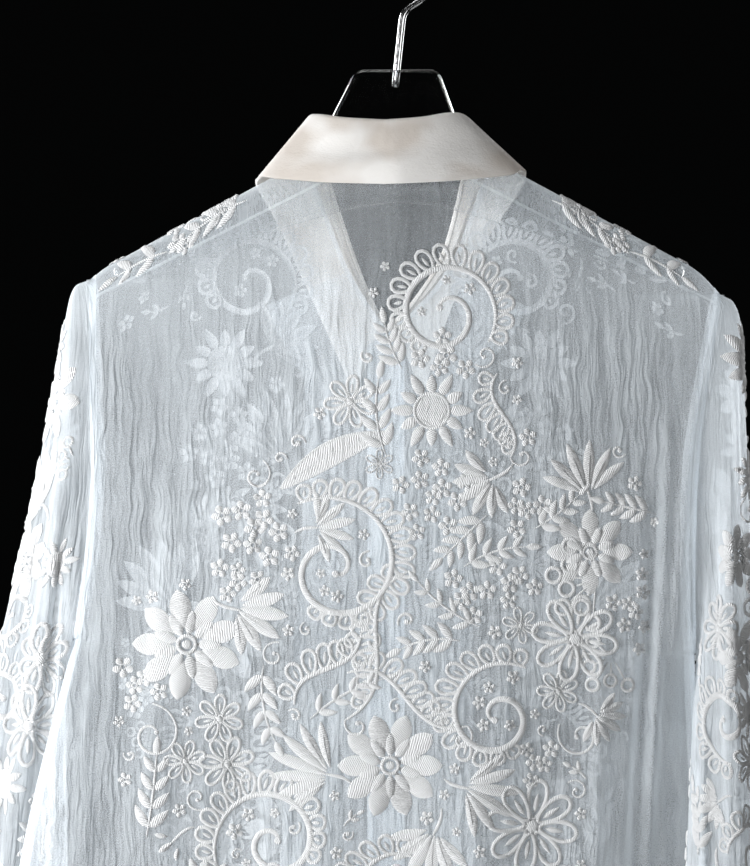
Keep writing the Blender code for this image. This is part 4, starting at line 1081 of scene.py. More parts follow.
def button_mesh(name, z):
    """A dished shell button with four holes and its cross of thread."""
    half = BUTTON_THICKNESS / 2
    place = Vector(cover(CENTRE_X, z, "front_right", WALL / 2 + 0.0003 + half, False))
    outward = (place - Vector(cover(CENTRE_X, z, "front_right", 0.0, False))).normalized()
    r = BUTTON_RADIUS
    profile = ((0.0002, half * 0.25), (r * 0.60, half * 0.28), (r * 0.68, half * 0.55),
               (r * 0.76, half * 0.92), (r * 0.86, half), (r * 0.95, half * 0.75), (r, half * 0.25),
               (r, -half * 0.4), (r * 0.92, -half * 0.9), (r * 0.80, -half), (0.0002, -half))
    turn = np.linspace(0.0, 2 * math.pi, 48, endpoint=False)
    rings = np.array([[(d * math.cos(a), d * math.sin(a), h) for a in turn] for d, h in profile])
    disc = mesh_from(name + "_disc", rings, grid_faces(len(profile), 48, around=True))
    close_rims(disc)
    obj = new_object(name + "_disc", disc)
    drill_mesh = bpy.data.meshes.new(name + "_drill")
    work = bmesh.new()
    for sx in (-1, 1):
        for sy in (-1, 1):
            hole = bmesh.ops.create_cone(work, segments=16, radius1=HOLE_RADIUS, radius2=HOLE_RADIUS,
                                         depth=0.006, cap_ends=True)
            bmesh.ops.translate(work, verts=hole["verts"], vec=(HOLE_PLACE * sx, HOLE_PLACE * sy, 0.0))
    work.to_mesh(drill_mesh)
    work.free()
    drill = new_object(name + "_drill", drill_mesh)
    cut = obj.modifiers.new("holes", "BOOLEAN")
    cut.object, cut.operation, cut.solver = drill, "DIFFERENCE", "EXACT"
    mesh = evaluated_mesh(obj)
    bpy.data.objects.remove(drill)
    mesh.materials.clear()
    placing = outward.to_track_quat("Z", "X").to_matrix().to_4x4()
    placing.translation = place
    mesh.transform(placing)
    mesh.set_sharp_from_angle(angle=math.radians(38))
    thread = []
    for a, b in (((-1, -1), (1, 1)), ((-1, 1), (1, -1))):
        s = np.linspace(0.0, 1.0, 9)
        x = HOLE_PLACE * (a[0] + (b[0] - a[0]) * s)
        y = HOLE_PLACE * (a[1] + (b[1] - a[1]) * s)
        h = half * 0.30 + 0.00030 * np.sin(math.pi * s) ** 0.5 - 0.0003 * (np.abs(2 * s - 1) > 0.98)
        thread.append(np.stack((x, y, h), axis=-1))
    tubes = [np.array([[tuple(placing @ Vector(p)) for p in row]
                       for row in tube_round(line, BUTTON_THREAD_RADIUS)]) for line in thread]
    return mesh, tubes


def make_hardware(thread):
    """The hanger and the buttons, with the thread that holds them."""
    clear, metal, shell = clear_material(), metal_material(), shell_material()
    plate = hanger_plate_mesh()
    plate.name = "hanger_plate_clear"
    add_object("hanger_plate_clear", plate, clear, "clear_acrylic", "hanger_plate")
    add_object("hanger_hook_wire", hook_mesh(), metal, "hook_metal", "hanger_hook")
    tubes = []
    for i in range(BUTTON_COUNT):
        name = f"button_{i + 1}"
        mesh, cross = button_mesh(name, BUTTON_FIRST_Z - BUTTON_SPACING * i)
        mesh.name = name + "_shell"
        add_object(name + "_shell", mesh, shell, "button_shell", name)
        tubes += cross
    mesh = joined_grids("button_threads", tubes, [metric_uv(grid) for grid in tubes])
    add_object("button_threads", mesh, thread, "embroidery_thread")


# Embroidery

class Motif:
    """Strips of satin stitch drawn flat in a motif's own plane, in metres."""

    def __init__(self):
        self.strips = []

    def strip(self, line, half, height=0.0010, closed=False):
        """A strip along a line, with its half width at each point and its height."""
        line = np.asarray(line, dtype=float)
        self.strips.append((line, np.broadcast_to(np.asarray(half, float), len(line)).copy(), height,
                            closed))

    def stem(self, line, width, height=0.0011, tip=0.3):
        """A round cord of stitches, thinner at both ends."""
        share = np.linspace(0.0, 1.0, len(line))
        self.strip(line, width / 2 * (tip + (1 - tip) * np.sin(math.pi * share) ** 0.5), height)

    def leaf(self, base, angle, length, width, bend=0.0, height=0.0010, count=7, fullest=0.8):
        """A pointed leaf or petal from its base, at an angle in radians."""
        s = np.linspace(0.0, 1.0, count)
        heading = angle + bend * (s - 0.5)
        step = length / (count - 1)
        line = np.array(base) + step * np.concatenate((np.zeros((1, 2)), np.cumsum(np.stack(
            (np.cos(heading[1:]), np.sin(heading[1:])), axis=-1), axis=0)))
        half = width / 2 * (0.10 + 0.90 * np.sin(math.pi * s ** fullest) ** 0.75)
        half[-1] = width * 0.03
        self.strip(line, half, height)

    def loop(self, base, angle, length, width, thread, count=13, height=0.0009):
        """An open petal: a cord that runs out from its base and back."""
        turn = np.linspace(0.0, 2 * math.pi, count)
        out = length * (1 - np.cos(turn)) / 2
        across = width / 2 * np.sin(turn) * (0.55 + 0.45 * (1 - np.cos(turn)) / 2)
        cos, sin = math.cos(angle), math.sin(angle)
        line = np.stack((base[0] + out * cos - across * sin,
                         base[1] + out * sin + across * cos), axis=-1)
        self.strip(line, thread / 2, height, closed=True)

    def ring(self, centre, radius, thread, count=15, height=0.0010):
        """A cord round a centre."""
        turn = np.linspace(0.0, 2 * math.pi, count)
        self.strip(np.stack((centre[0] + radius * np.cos(turn), centre[1] + radius * np.sin(turn)),
                            axis=-1), thread / 2, height, closed=True)

    def disc(self, centre, radius, height=0.0010, count=9, angle=0.0):
        """A filled round of stitches."""
        s = -np.cos(np.linspace(0.0, math.pi, count))
        line = np.stack((centre[0] + radius * s * math.cos(angle),
                         centre[1] + radius * s * math.sin(angle)), axis=-1)
        self.strip(line, radius * np.sqrt(np.maximum(0.0, 1 - s * s)) + 1e-5, height)

    def add(self, other, place, angle=0.0, scale=1.0):
        """Lay another motif inside this one."""
        for line, half, height, closed in other.strips:
            self.strips.append((turned(line, angle, scale) + np.array(place), half * scale, height,
                                closed))
        return self


def turned(line, angle, scale=1.0, mirror=False):
    """Points turned by an angle in radians, scaled, and mirrored first if asked."""
    cos, sin = math.cos(angle), math.sin(angle)
    x = -line[:, 0] if mirror else line[:, 0]
    return scale * np.stack((x * cos - line[:, 1] * sin, x * sin + line[:, 1] * cos), axis=-1)


def spiral(start_radius, end_radius, start, turn, count=48, power=1.0):
    """A spiral line about the origin; angles in degrees."""
    share = np.linspace(0.0, 1.0, count)
    angle = np.radians(start + turn * share)
    reach = start_radius + (end_radius - start_radius) * share ** power
    return np.stack((reach * np.cos(angle), reach * np.sin(angle)), axis=-1)


def bezier(points, count=32):
    """A smooth curve by four points."""
    a, b, c, d = (np.array(p, float) for p in points)
    t = np.linspace(0.0, 1.0, count)[:, None]
    return a * (1 - t) ** 3 + 3 * b * t * (1 - t) ** 2 + 3 * c * t * t * (1 - t) + d * t ** 3


def comb(motif, line, side, pitch, length, thread=0.0024, lean=0.30, start=0.02, end=0.75):
    """Scalloped loops along one side of a line: side 1 is its left."""
    steps = np.linalg.norm(np.diff(line, axis=0), axis=1)
    run = np.concatenate(([0.0], np.cumsum(steps)))
    for place in np.arange(run[-1] * start, run[-1] * end, pitch):
        x, y = (np.interp(place, run, line[:, k]) for k in (0, 1))
        ahead_x, ahead_y = (np.interp(min(place + 0.001, run[-1]), run, line[:, k]) for k in (0, 1))
        heading = math.atan2(ahead_y - y, ahead_x - x)
        share = (place / run[-1] - start) / (end - start)
        size = length * (0.55 + 0.45 * math.sin(math.pi * min(1.0, share + 0.08)))
        angle = heading + side * (math.pi / 2 - lean)
        motif.loop((x, y), angle, size, pitch * 1.25, thread)
        inner = (x + 0.22 * size * math.cos(angle), y + 0.22 * size * math.sin(angle))
        motif.leaf(inner, angle - 0.08 * side, size * 0.50, thread * 0.95, 0.0, 0.0008, 5)


def comb_scroll(start_radius, end_radius, start, turn, width=0.0044, length=0.0158, pitch=0.0092):
    """A C-shaped scroll that curls in on itself, with scallops along its outer side."""
    motif = Motif()
    sense = 1 if turn > 0 else -1
    curl = spiral(end_radius, end_radius * 0.22, start + turn, sense * 230.0, 26, 0.9)
    line = np.concatenate((spiral(start_radius, end_radius, start, turn), curl[1:]))
    motif.stem(line, width)
    motif.disc(line[-1], width * 0.52)
    comb(motif, line, -sense, pitch, length, end=0.66)
    return motif


def sunflower(radius, petals):
    """A meshed disc in a ring, with pointed satin petals."""
    motif = Motif()
    heart = radius * 0.42
    for i in range(petals):
        angle = 2 * math.pi * i / petals
        longer = 1.0 if i % 2 == 0 else 0.86
        motif.leaf((heart * math.cos(angle), heart * math.sin(angle)), angle,
                   (radius * longer - heart), radius * 0.27, height=0.0010, fullest=0.7)
    motif.disc((0, 0), heart * 0.92, height=0.0006, count=13)
    for i in range(-3, 4):
        reach = heart * 0.86 * math.sqrt(max(0.05, 1 - (i / 4) ** 2))
        for cross in (0.0, math.pi / 2):
            line = np.array(((-reach, heart * i / 4), (0.0, heart * i / 4), (reach, heart * i / 4)))
            motif.strip(turned(line, cross + 0.5), 0.0005, 0.0010)
    motif.ring((0, 0), heart, 0.0022, 25)
    return motif


def layered_flower(radius, petals):
    """A full flower: two rounds of petals about a knot of small rings."""
    motif = Motif()
    for i in range(petals):
        angle = 2 * math.pi * i / petals
        base = (radius * 0.30 * math.cos(angle), radius * 0.30 * math.sin(angle))
        motif.leaf(base, angle, radius * 0.70, radius * 0.40, height=0.0009, fullest=1.15, count=9)
    for i in range(petals):
        angle = 2 * math.pi * (i + 0.5) / petals
        base = (radius * 0.18 * math.cos(angle), radius * 0.18 * math.sin(angle))
        motif.leaf(base, angle, radius * 0.44, radius * 0.24, height=0.0014, fullest=1.0)
    motif.ring((0, 0), radius * 0.16, radius * 0.08, 13, height=0.0017)
    motif.disc((0, 0), radius * 0.09, height=0.0018)
    return motif


def loop_daisy(radius, petals):
    """A daisy of open loops, each with a small leaf inside."""
    motif = Motif()
    for i in range(petals):
        angle = 2 * math.pi * i / petals + 0.2
        base = (radius * 0.16 * math.cos(angle), radius * 0.16 * math.sin(angle))
        motif.loop(base, angle, radius * 0.84, radius * 0.52, min(0.0030, radius * 0.13), 17, 0.0011)
        motif.leaf((radius * 0.3 * math.cos(angle), radius * 0.3 * math.sin(angle)), angle,
                   radius * 0.42, radius * 0.12, count=5)
    motif.disc((0, 0), radius * 0.15, height=0.0014)
    return motif


def star_flower(radius):
    """A small five-petalled flower with an eyelet."""
    motif = Motif()
    for i in range(5):
        angle = 2 * math.pi * i / 5 + 0.3
        motif.leaf((radius * 0.22 * math.cos(angle), radius * 0.22 * math.sin(angle)), angle,
                   radius * 0.80, radius * 0.70, height=0.0008, count=6, fullest=1.1)
    motif.ring((0, 0), radius * 0.27, 0.0012, 9)
    return motif


def star_cluster(count, seed):
    """Small flowers packed close, as a blossom head."""
    rng = np.random.default_rng(seed)
    motif = Motif()
    for i in range(count):
        reach, angle = 0.0080 * math.sqrt(i), GOLDEN_ANGLE * i
        place = (reach * math.cos(angle), reach * math.sin(angle))
        motif.add(star_flower(rng.uniform(0.0058, 0.0070)), place, rng.uniform(0, 6.3))
    return motif


def ring_berries(count, radius=0.0048, reach=0.028, spread=160.0):
    """Ring-shaped berries on short stalks round a focus."""
    motif = Motif()
    for i in range(count):
        angle = math.radians(-spread / 2 + spread * i / max(1, count - 1))
        far = reach * (1.0 if i % 2 == 0 else 0.72)
        end = np.array((far * math.cos(angle), far * math.sin(angle)))
        motif.ring(end, radius, min(0.0028, radius * 0.55))
        unit = end / np.linalg.norm(end)
        motif.stem(np.array([unit * d for d in np.linspace(0.004, far - radius, 5)]), 0.0014)
    return motif


def leaf_spray(length, pairs, leaf=0.013, width=0.0048, bend=0.5, lean=0.75):
    """A curved stem with pairs of satin leaves and one at its tip."""
    motif = Motif()
    s = np.linspace(0.0, 1.0, 14)
    heading = bend * (s - 0.5)
    line = np.concatenate((np.zeros((1, 2)), np.cumsum(np.stack(
        (np.cos(heading[1:]), np.sin(heading[1:])), axis=-1) * length / 13, axis=0)))
    motif.stem(line, 0.0017)
    for i in range(pairs):
        share = (i + 0.6) / pairs * 0.9
        x, y = np.interp(share, s, line[:, 0]), np.interp(share, s, line[:, 1])
        along = float(np.interp(share, s, heading))
        size = leaf * (1.0 - 0.35 * share)
        for side in (-1, 1):
            motif.leaf((x, y), along + side * lean, size, width * (1 - 0.25 * share), side * -0.35)
    motif.leaf(line[-1], heading[-1], leaf * 0.75, width * 0.8)
    return motif


def pod(length, width):
    """A long pod: corded outline, netted inside, with a rib."""
    motif = Motif()
    s = np.linspace(0.0, 1.0, 22)
    swell = width / 2 * np.sin(math.pi * s) ** 0.8
    bow = 0.06 * length * np.sin(math.pi * s)
    middle = np.stack((length * s, bow), axis=-1)
    motif.strip(middle, swell * 0.92 + 1e-5, 0.0003)
    for side in (-1, 1):
        motif.strip(np.stack((length * s, bow + side * swell), axis=-1), 0.0008, 0.0010)
    for i in range(2, 20):
        x = length * i / 21
        reach = float(np.interp(i / 21, s, swell))
        y = float(np.interp(i / 21, s, bow))
        for slant in (-1, 1):
            motif.strip(np.array(((x - slant * reach * 0.5, y - reach), (x, y),
                                  (x + slant * reach * 0.5, y + reach))), 0.00035, 0.0007)
    motif.stem(middle[1:-1], 0.0014, 0.0010)
    return motif


def leaf_fan(radius, blades, spread=115.0, width=0.0078):
    """Broad blades that open from one base, the middle ones longest."""
    motif = Motif()
    for i in range(blades):
        share = i / max(1, blades - 1) - 0.5
        angle = math.radians(spread * share)
        size = radius * (1.0 - 0.55 * abs(share) ** 1.2)
        base = (radius * 0.06 * i % 0.002, 0.010 * share)
        motif.leaf(base, angle, size, width * (1 - 0.3 * abs(share)), 0.5 * share, 0.0009, 9, 1.15)
        motif.leaf(base, angle, size * 0.8, 0.0009, 0.5 * share, 0.0014, 6)
    motif.stem(bezier(((-0.016, 0.0), (-0.010, 0.003), (-0.004, 0.001), (0.002, 0.0)), 8), 0.0022)
    return motif


def tendril(radius, turn=420.0, sense=1):
    """A thin curl with a dot at its end."""
    motif = Motif()
    line = spiral(radius, radius * 0.16, 0.0, sense * turn, 40, 0.85)
    motif.stem(line, 0.0019, 0.0010, 0.5)
    motif.disc(line[-1], 0.0016)
    return motif


def plume(length, side=1, width=0.0034):
    """An S-shaped stem with scallops along one side and a curled tip."""
    motif = Motif()
    line = bezier(((0, 0), (0.35 * length, 0.34 * length * side),
                   (0.62 * length, -0.30 * length * side), (length, 0.02 * length * side)), 40)
    motif.stem(line, width)
    comb(motif, line, side, 0.0088, 0.0160, start=0.08, end=0.92)
    curl = 0.009
    motif.add(tendril(curl, 300.0, -side), line[-1] + np.array((0.0, -curl * side)), side * math.pi / 2)
    return motif


class Ground:
    """One piece of cloth that motifs are stitched on, with a map of what is covered."""

    CELL = 0.0016         # side of a cell of the map

    def __init__(self, name, lay, low, high, inside):
        self.name, self.lay, self.inside = name, lay, inside
        self.low, self.high = np.array(low), np.array(high)
        size = np.ceil((self.high - self.low) / self.CELL).astype(int) + 3
        self.map = np.zeros(size, dtype=bool)
        self.strips = []

    def cells(self, strips):
        """Map cells under some strips."""
        found = []
        for line, half, _, _ in strips:
            steps = np.linalg.norm(np.diff(line, axis=0), axis=1)
            run = np.concatenate(([0.0], np.cumsum(steps)))
            at = np.linspace(0.0, run[-1], max(2, int(run[-1] / self.CELL) + 1))
            x, y = np.interp(at, run, line[:, 0]), np.interp(at, run, line[:, 1])
            wide = np.interp(at, run, half)
            dx, dy = np.gradient(x), np.gradient(y)
            size = np.maximum(np.hypot(dx, dy), 1e-9)
            for q in (-1.0, 0.0, 1.0):
                found.append(np.stack((x - q * wide * dy / size, y + q * wide * dx / size), axis=-1))
        places = np.concatenate(found)
        index = ((places - self.low) / self.CELL).astype(int) + 1
        return places, np.clip(index, 1, np.array(self.map.shape) - 2)

    def placed(self, motif, x, y, angle, scale, mirror):
        """A motif's strips where it is to lie."""
        return [(turned(line, angle, scale, mirror) + np.array((x, y)), half * scale, height, closed)
                for line, half, height, closed in motif.strips]

    def put(self, motif, x, y, degrees=0.0, scale=1.0, mirror=False):
        """Stitch a motif here, whatever is there."""
        self.take(self.placed(motif, x, y, math.radians(degrees), scale, mirror))

    def take(self, strips):
        """Keep some strips and mark the cloth under them as covered."""
        _, index = self.cells(strips)
        for dx in (-1, 0, 1):
            for dy in (-1, 0, 1):
                self.map[index[:, 0] + dx, index[:, 1] + dy] = True
        self.strips += strips

    def fill(self, makers, tries, seed, overlap=0.05):
        """Try motifs at many places, and keep those that find free cloth."""
        rng = np.random.default_rng(seed)
        for _ in range(tries):
            maker = makers[int(rng.integers(len(makers)))]
            x, y = rng.uniform(self.low, self.high)
            angle, mirror = rng.uniform(0, 2 * math.pi), bool(rng.integers(2))
            i, j = ((np.array((x, y)) - self.low) / self.CELL).astype(int) + 1
            if self.map[i, j] or not self.inside(np.array([x]), np.array([y]))[0]:
                continue
            strips = self.placed(maker(rng), x, y, angle, rng.uniform(0.85, 1.12), mirror)
            places, index = self.cells(strips)
            if self.map[index[:, 0], index[:, 1]].mean() > overlap:
                continue
            if self.inside(places[:, 0], places[:, 1]).mean() < 0.97:
                continue
            self.take(strips)

    def mesh(self):
        """All the strips as one mesh of low domes that follow the cloth."""
        flat, lifts, faces, coords, start = [], [], [], [], 0
        for order, (line, half, height, closed) in enumerate(self.strips):
            count = len(line)
            along = np.gradient(line, axis=0)
            if closed:
                along[0] = along[-1] = line[1] - line[-2]
            along /= np.maximum(np.linalg.norm(along, axis=1, keepdims=True), 1e-9)
            aside = np.stack((-along[:, 1], along[:, 0]), axis=-1)
            wide = half.max() > 0.0012
            q = np.array((-1.0, -0.62, 0.0, 0.62, 1.0) if wide else (-1.0, 0.0, 1.0))
            dome = (1 - q ** 4) ** 0.5
            run = np.concatenate(([0.0], np.cumsum(np.linalg.norm(np.diff(line, axis=0), axis=1))))
            share = run / max(run[-1], 1e-9)
            ends = np.ones(count) if closed else smooth(np.minimum(share, 1 - share) / 0.10 + 0.15)
            places = line[:, None] + aside[:, None] * (half[:, None] * q)[..., None]
            lift = STITCH_LIFT + 0.00008 * (order % 5) + height * dome[None, :] * ends[:, None]
            flat.append(places.reshape(-1, 2))
            lifts.append(lift.ravel())
            across = half[:, None] * q
            coords.append(np.stack((run[:, None] + THREAD_SLANT * across + 0.013 * (order % 17),
                                    across), axis=-1).reshape(-1, 2))
            faces.append(grid_faces(count, len(q)) + start)
            start += count * len(q)
        points = self.lay(np.concatenate(flat), np.concatenate(lifts))
        return mesh_from(self.name, points, np.concatenate(faces), np.concatenate(coords))


def polygon_mask(corners):
    """A test of whether points lie inside a polygon."""
    corners = np.array(corners)

    def inside(x, y):
        """Count the sides that a line from each place crosses."""
        result = np.zeros(len(x), dtype=bool)
        for (ax, ay), (bx, by) in zip(corners, np.roll(corners, -1, axis=0)):
            crosses = (ay > y) != (by > y)
            with np.errstate(divide="ignore", invalid="ignore"):
                at = ax + (y - ay) * (bx - ax) / (by - ay)
            result ^= crosses & (x < at)
        return result

    return inside


def on_panel(panel):
    """How flat places and lifts are laid on a panel."""
    return lambda places, lift: cover(places[:, 0], places[:, 1], panel, lift)


def on_shoulder(side):
    """How flat places are laid over a shoulder: along it, and down to the back (+) or front (-)."""
    def lay(places, lift):
        """Points over the ridge: round its bend, then down the panel."""
        x, down = places[:, 0], np.abs(places[:, 1])
        bent = RIDGE_RADIUS * math.pi / 2
        drop = np.where(down < bent, RIDGE_RADIUS * (1 - np.cos(np.minimum(down, bent) / RIDGE_RADIUS)),
                        RIDGE_RADIUS + down - bent)
        z = ridge_z(x) - np.maximum(drop, 0.00005)
        behind = cover(x, z, "back", lift)
        before = cover(x, z, front_of(side), lift)
        return np.where((places[:, 1] >= 0)[:, None], behind, before)

    return lay


def level_rows(points, rows=150, columns=121):
    """A sleeve's surface again as a grid of level rows, each evenly spaced from front to back."""
    falls = np.maximum.accumulate(-points[..., 2], axis=0)
    steps = np.arange(len(points))
    top = falls[0].min() + 0.004
    level = np.linspace(top, falls[-1].min(), rows + 1)
    even, girth = np.empty((rows + 1, columns, 3)), np.empty(rows + 1)
    for i, fall in enumerate(level):
        there = np.flatnonzero(falls[0] <= fall)
        at = np.array([np.interp(fall, falls[:, j], steps) for j in there])
        low = np.clip(at.astype(int), 0, len(points) - 2)
        part = (at - low)[:, None]
        line = points[low, there] * (1 - part) + points[low + 1, there] * part
        run = np.concatenate(([0.0], np.cumsum(np.linalg.norm(np.diff(line, axis=0), axis=1))))
        girth[i] = run[-1]
        for k in range(3):
            even[i, :, k] = np.interp(np.linspace(0.0, run[-1], columns), run, line[:, k])
    return even, girth, level - top


class SleeveLay:
    """How flat places are laid on a sleeve: round it from its outer fold, and down."""

    def __init__(self, points):
        self.points, self.girth, self.run = level_rows(points)
        self.normals = grid_normals(self.points)
        middle = self.points.mean(axis=1, keepdims=True)
        if np.sum(self.normals * (self.points - middle)) < 0:
            self.normals = -self.normals

    def __call__(self, places, lift):
        row = np.interp(places[:, 1], self.run, np.arange(len(self.run)))
        girth = np.interp(row, np.arange(len(self.girth)), self.girth)
        column = np.clip(0.5 + places[:, 0] / girth, 0.0, 1.0) * (self.points.shape[1] - 1)
        i = np.clip(row.astype(int), 0, self.points.shape[0] - 2)
        j = np.clip(column.astype(int), 0, self.points.shape[1] - 2)
        s, t = (row - i)[:, None], (column - j)[:, None]

        def blend(grid):
            """A grid's values between its four nearest points."""
            return ((grid[i, j] * (1 - t) + grid[i, j + 1] * t) * (1 - s)
                    + (grid[i + 1, j] * (1 - t) + grid[i + 1, j + 1] * t) * s)

        normal = blend(self.normals)
        normal /= np.linalg.norm(normal, axis=1, keepdims=True)
        return blend(self.points) + normal * lift[:, None]


# Largest flowers and scrolls on the back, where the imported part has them
BACK_FLOWERS = (
    ("sun", -0.021, -0.300, 0.027, 12),
    ("full", -0.124, -0.392, 0.028, 8),
    ("loops", -0.114, -0.448, 0.028, 8),
    ("full", 0.138, -0.452, 0.036, 9),
    ("full", 0.006, -0.530, 0.034, 10),
    ("loops", -0.086, -0.570, 0.030, 8))
BACK_SCROLLS = (
    (-0.030, -0.236, 0.034, 0.022, 215.0, -310.0),
    (0.042, -0.402, 0.048, 0.018, 60.0, 330.0),
    (-0.064, -0.498, 0.036, 0.016, 120.0, -300.0),
    (0.082, -0.580, 0.040, 0.016, -30.0, 320.0))
FLOWER_KINDS = {"sun": sunflower, "full": layered_flower, "loops": loop_daisy}
# The rest of the back's main motifs: what, place, and turn in degrees
BACK_MOTIFS = (
    (lambda: star_cluster(12, 3), -0.022, -0.356, 0.0),
    (lambda: star_cluster(9, 4), 0.094, -0.376, 0.0),
    (lambda: star_cluster(5, 5), -0.072, -0.412, 0.0),
    (lambda: pod(0.078, 0.015), 0.008, -0.314, -28.0),
    (lambda: leaf_fan(0.034, 6), -0.122, -0.352, 80.0),
    (lambda: ring_berries(8), -0.128, -0.410, -5.0),
    (lambda: ring_berries(6, 0.0040, 0.022), -0.138, -0.460, -40.0),
    (lambda: plume(0.105, 1), -0.006, -0.404, -68.0),
    (lambda: plume(0.085, -1), 0.034, -0.470, 205.0),
    (lambda: leaf_spray(0.050, 4), -0.052, -0.440, 35.0),
    (lambda: leaf_spray(0.055, 4), 0.058, -0.500, 150.0),
    (lambda: leaf_fan(0.040, 7), 0.046, -0.536, 20.0),
    (lambda: leaf_fan(0.036, 6), -0.044, -0.544, 200.0),
    (lambda: tendril(0.020), 0.160, -0.510, 90.0),
    (lambda: tendril(0.016, 400.0, -1), -0.118, -0.512, 30.0),
    (lambda: plume(0.080, 1), -0.010, -0.590, -20.0),
    (lambda: comb_scroll(0.030, 0.014, 200.0, 300.0), -0.014, -0.632, 0.0),
    (lambda: leaf_spray(0.060, 5), 0.070, -0.655, 250.0))
BACK_FIELD = (
    (0.018, -0.200), (-0.055, -0.196), (-0.082, -0.225), (-0.080, -0.290), (-0.098, -0.330),
    (-0.150, -0.318), (-0.170, -0.370), (-0.166, -0.440), (-0.150, -0.500), (-0.122, -0.540),
    (-0.124, -0.610), (-0.104, -0.680), (-0.040, -0.730), (0.040, -0.730), (0.110, -0.690),
    (0.150, -0.620), (0.184, -0.540), (0.188, -0.470), (0.172, -0.415), (0.122, -0.400),
    (0.110, -0.345), (0.086, -0.322), (0.060, -0.300), (0.026, -0.270))
FRONT_FIELD = (
    (0.064, -0.178), (0.120, -0.190), (0.142, -0.230), (0.136, -0.300), (0.140, -0.360),
    (0.180, -0.395), (0.188, -0.480), (0.176, -0.560), (0.150, -0.640), (0.100, -0.690),
    (0.048, -0.680), (0.036, -0.560), (0.040, -0.440), (0.034, -0.330), (0.046, -0.260),
    (0.062, -0.220))
# Main motifs of a front, for the left one; the right one has them mirrored
FRONT_MOTIFS = (
    (lambda: comb_scroll(0.032, 0.020, 215.0, -300.0), 0.100, -0.214, 0.0),
    (lambda: sunflower(0.026, 12), 0.116, -0.268, 0.0),
    (lambda: star_cluster(14, 8), 0.112, -0.322, 0.0),
    (lambda: leaf_fan(0.044, 7, 100.0, 0.010), 0.078, -0.330, 75.0),
    (lambda: comb_scroll(0.036, 0.016, 60.0, 320.0), 0.078, -0.388, 0.0),
    (lambda: leaf_fan(0.046, 7, 100.0, 0.011), 0.150, -0.430, 60.0),
    (lambda: layered_flower(0.034, 9), 0.118, -0.450, 0.0),
    (lambda: star_cluster(12, 9), 0.066, -0.450, 0.0),
    (lambda: plume(0.090, 1), 0.060, -0.480, -60.0),
    (lambda: comb_scroll(0.034, 0.015, 120.0, -300.0), 0.120, -0.530, 0.0),
    (lambda: layered_flower(0.030, 8), 0.074, -0.580, 0.0),
    (lambda: leaf_spray(0.060, 5), 0.120, -0.590, 250.0))
# Motifs over a shoulder: along it, down from its ridge to the back, and turn in degrees
SHOULDER_MOTIFS = (
    (lambda: leaf_spray(0.040, 3, 0.017, 0.0064), 0.100, 0.010, 4.0),
    (lambda: star_cluster(3, 12), 0.146, 0.013, 0.0),
    (lambda: leaf_spray(0.034, 2, 0.016, 0.0062), 0.152, 0.016, -4.0),
    (lambda: loop_daisy(0.012, 6), 0.118, 0.004, 0.0),
    (lambda: leaf_spray(0.046, 3, 0.015, 0.0056), 0.186, -0.018, 184.0),
    (lambda: star_cluster(3, 14), 0.112, -0.020, 0.0))


def small_motifs():
    """Fillers for the gaps between the main motifs, largest first."""
    large = (
        lambda rng: comb_scroll(rng.uniform(0.018, 0.024), 0.010, rng.uniform(0, 360),
                                rng.choice((-1.0, 1.0)) * 270.0, 0.0036, 0.0125, 0.0080),
        lambda rng: plume(rng.uniform(0.050, 0.075), int(rng.choice((-1, 1)))),
        lambda rng: leaf_fan(rng.uniform(0.026, 0.034), 6, 120.0, 0.0086),
        lambda rng: leaf_fan(rng.uniform(0.020, 0.028), 7, 160.0, 0.0070),
        lambda rng: leaf_spray(rng.uniform(0.034, 0.050), 4, 0.016, 0.0062, rng.uniform(-0.9, 0.9)),
        lambda rng: loop_daisy(rng.uniform(0.015, 0.020), 7),
        lambda rng: star_cluster(5, int(rng.integers(1000))))
    middle = (
        lambda rng: star_cluster(int(rng.integers(3, 7)), int(rng.integers(1000))),
        lambda rng: leaf_spray(rng.uniform(0.026, 0.040), 3, 0.010, 0.0042, rng.uniform(-0.9, 0.9)),
        lambda rng: leaf_fan(rng.uniform(0.018, 0.026), 5, 120.0, 0.0060),
        lambda rng: loop_daisy(rng.uniform(0.010, 0.014), 6),
        lambda rng: tendril(rng.uniform(0.008, 0.013), 380.0, int(rng.choice((-1, 1)))),
        lambda rng: ring_berries(4, 0.0032, 0.015, 110.0))
    small = (
        lambda rng: star_flower(rng.uniform(0.0042, 0.0056)),
        lambda rng: leaf_spray(0.012, 1, 0.008, 0.0036),
        lambda rng: tendril(rng.uniform(0.0045, 0.0065), 330.0, int(rng.choice((-1, 1)))),
        lambda rng: leaf_fan(0.011, 3, 90.0, 0.0040),
        lambda rng: star_flower(0.0046))
    tiny = (
        lambda rng: leaf_fan(0.0075, 2, 70.0, 0.0030),
        lambda rng: star_flower(0.0036))
    return large, middle, small, tiny


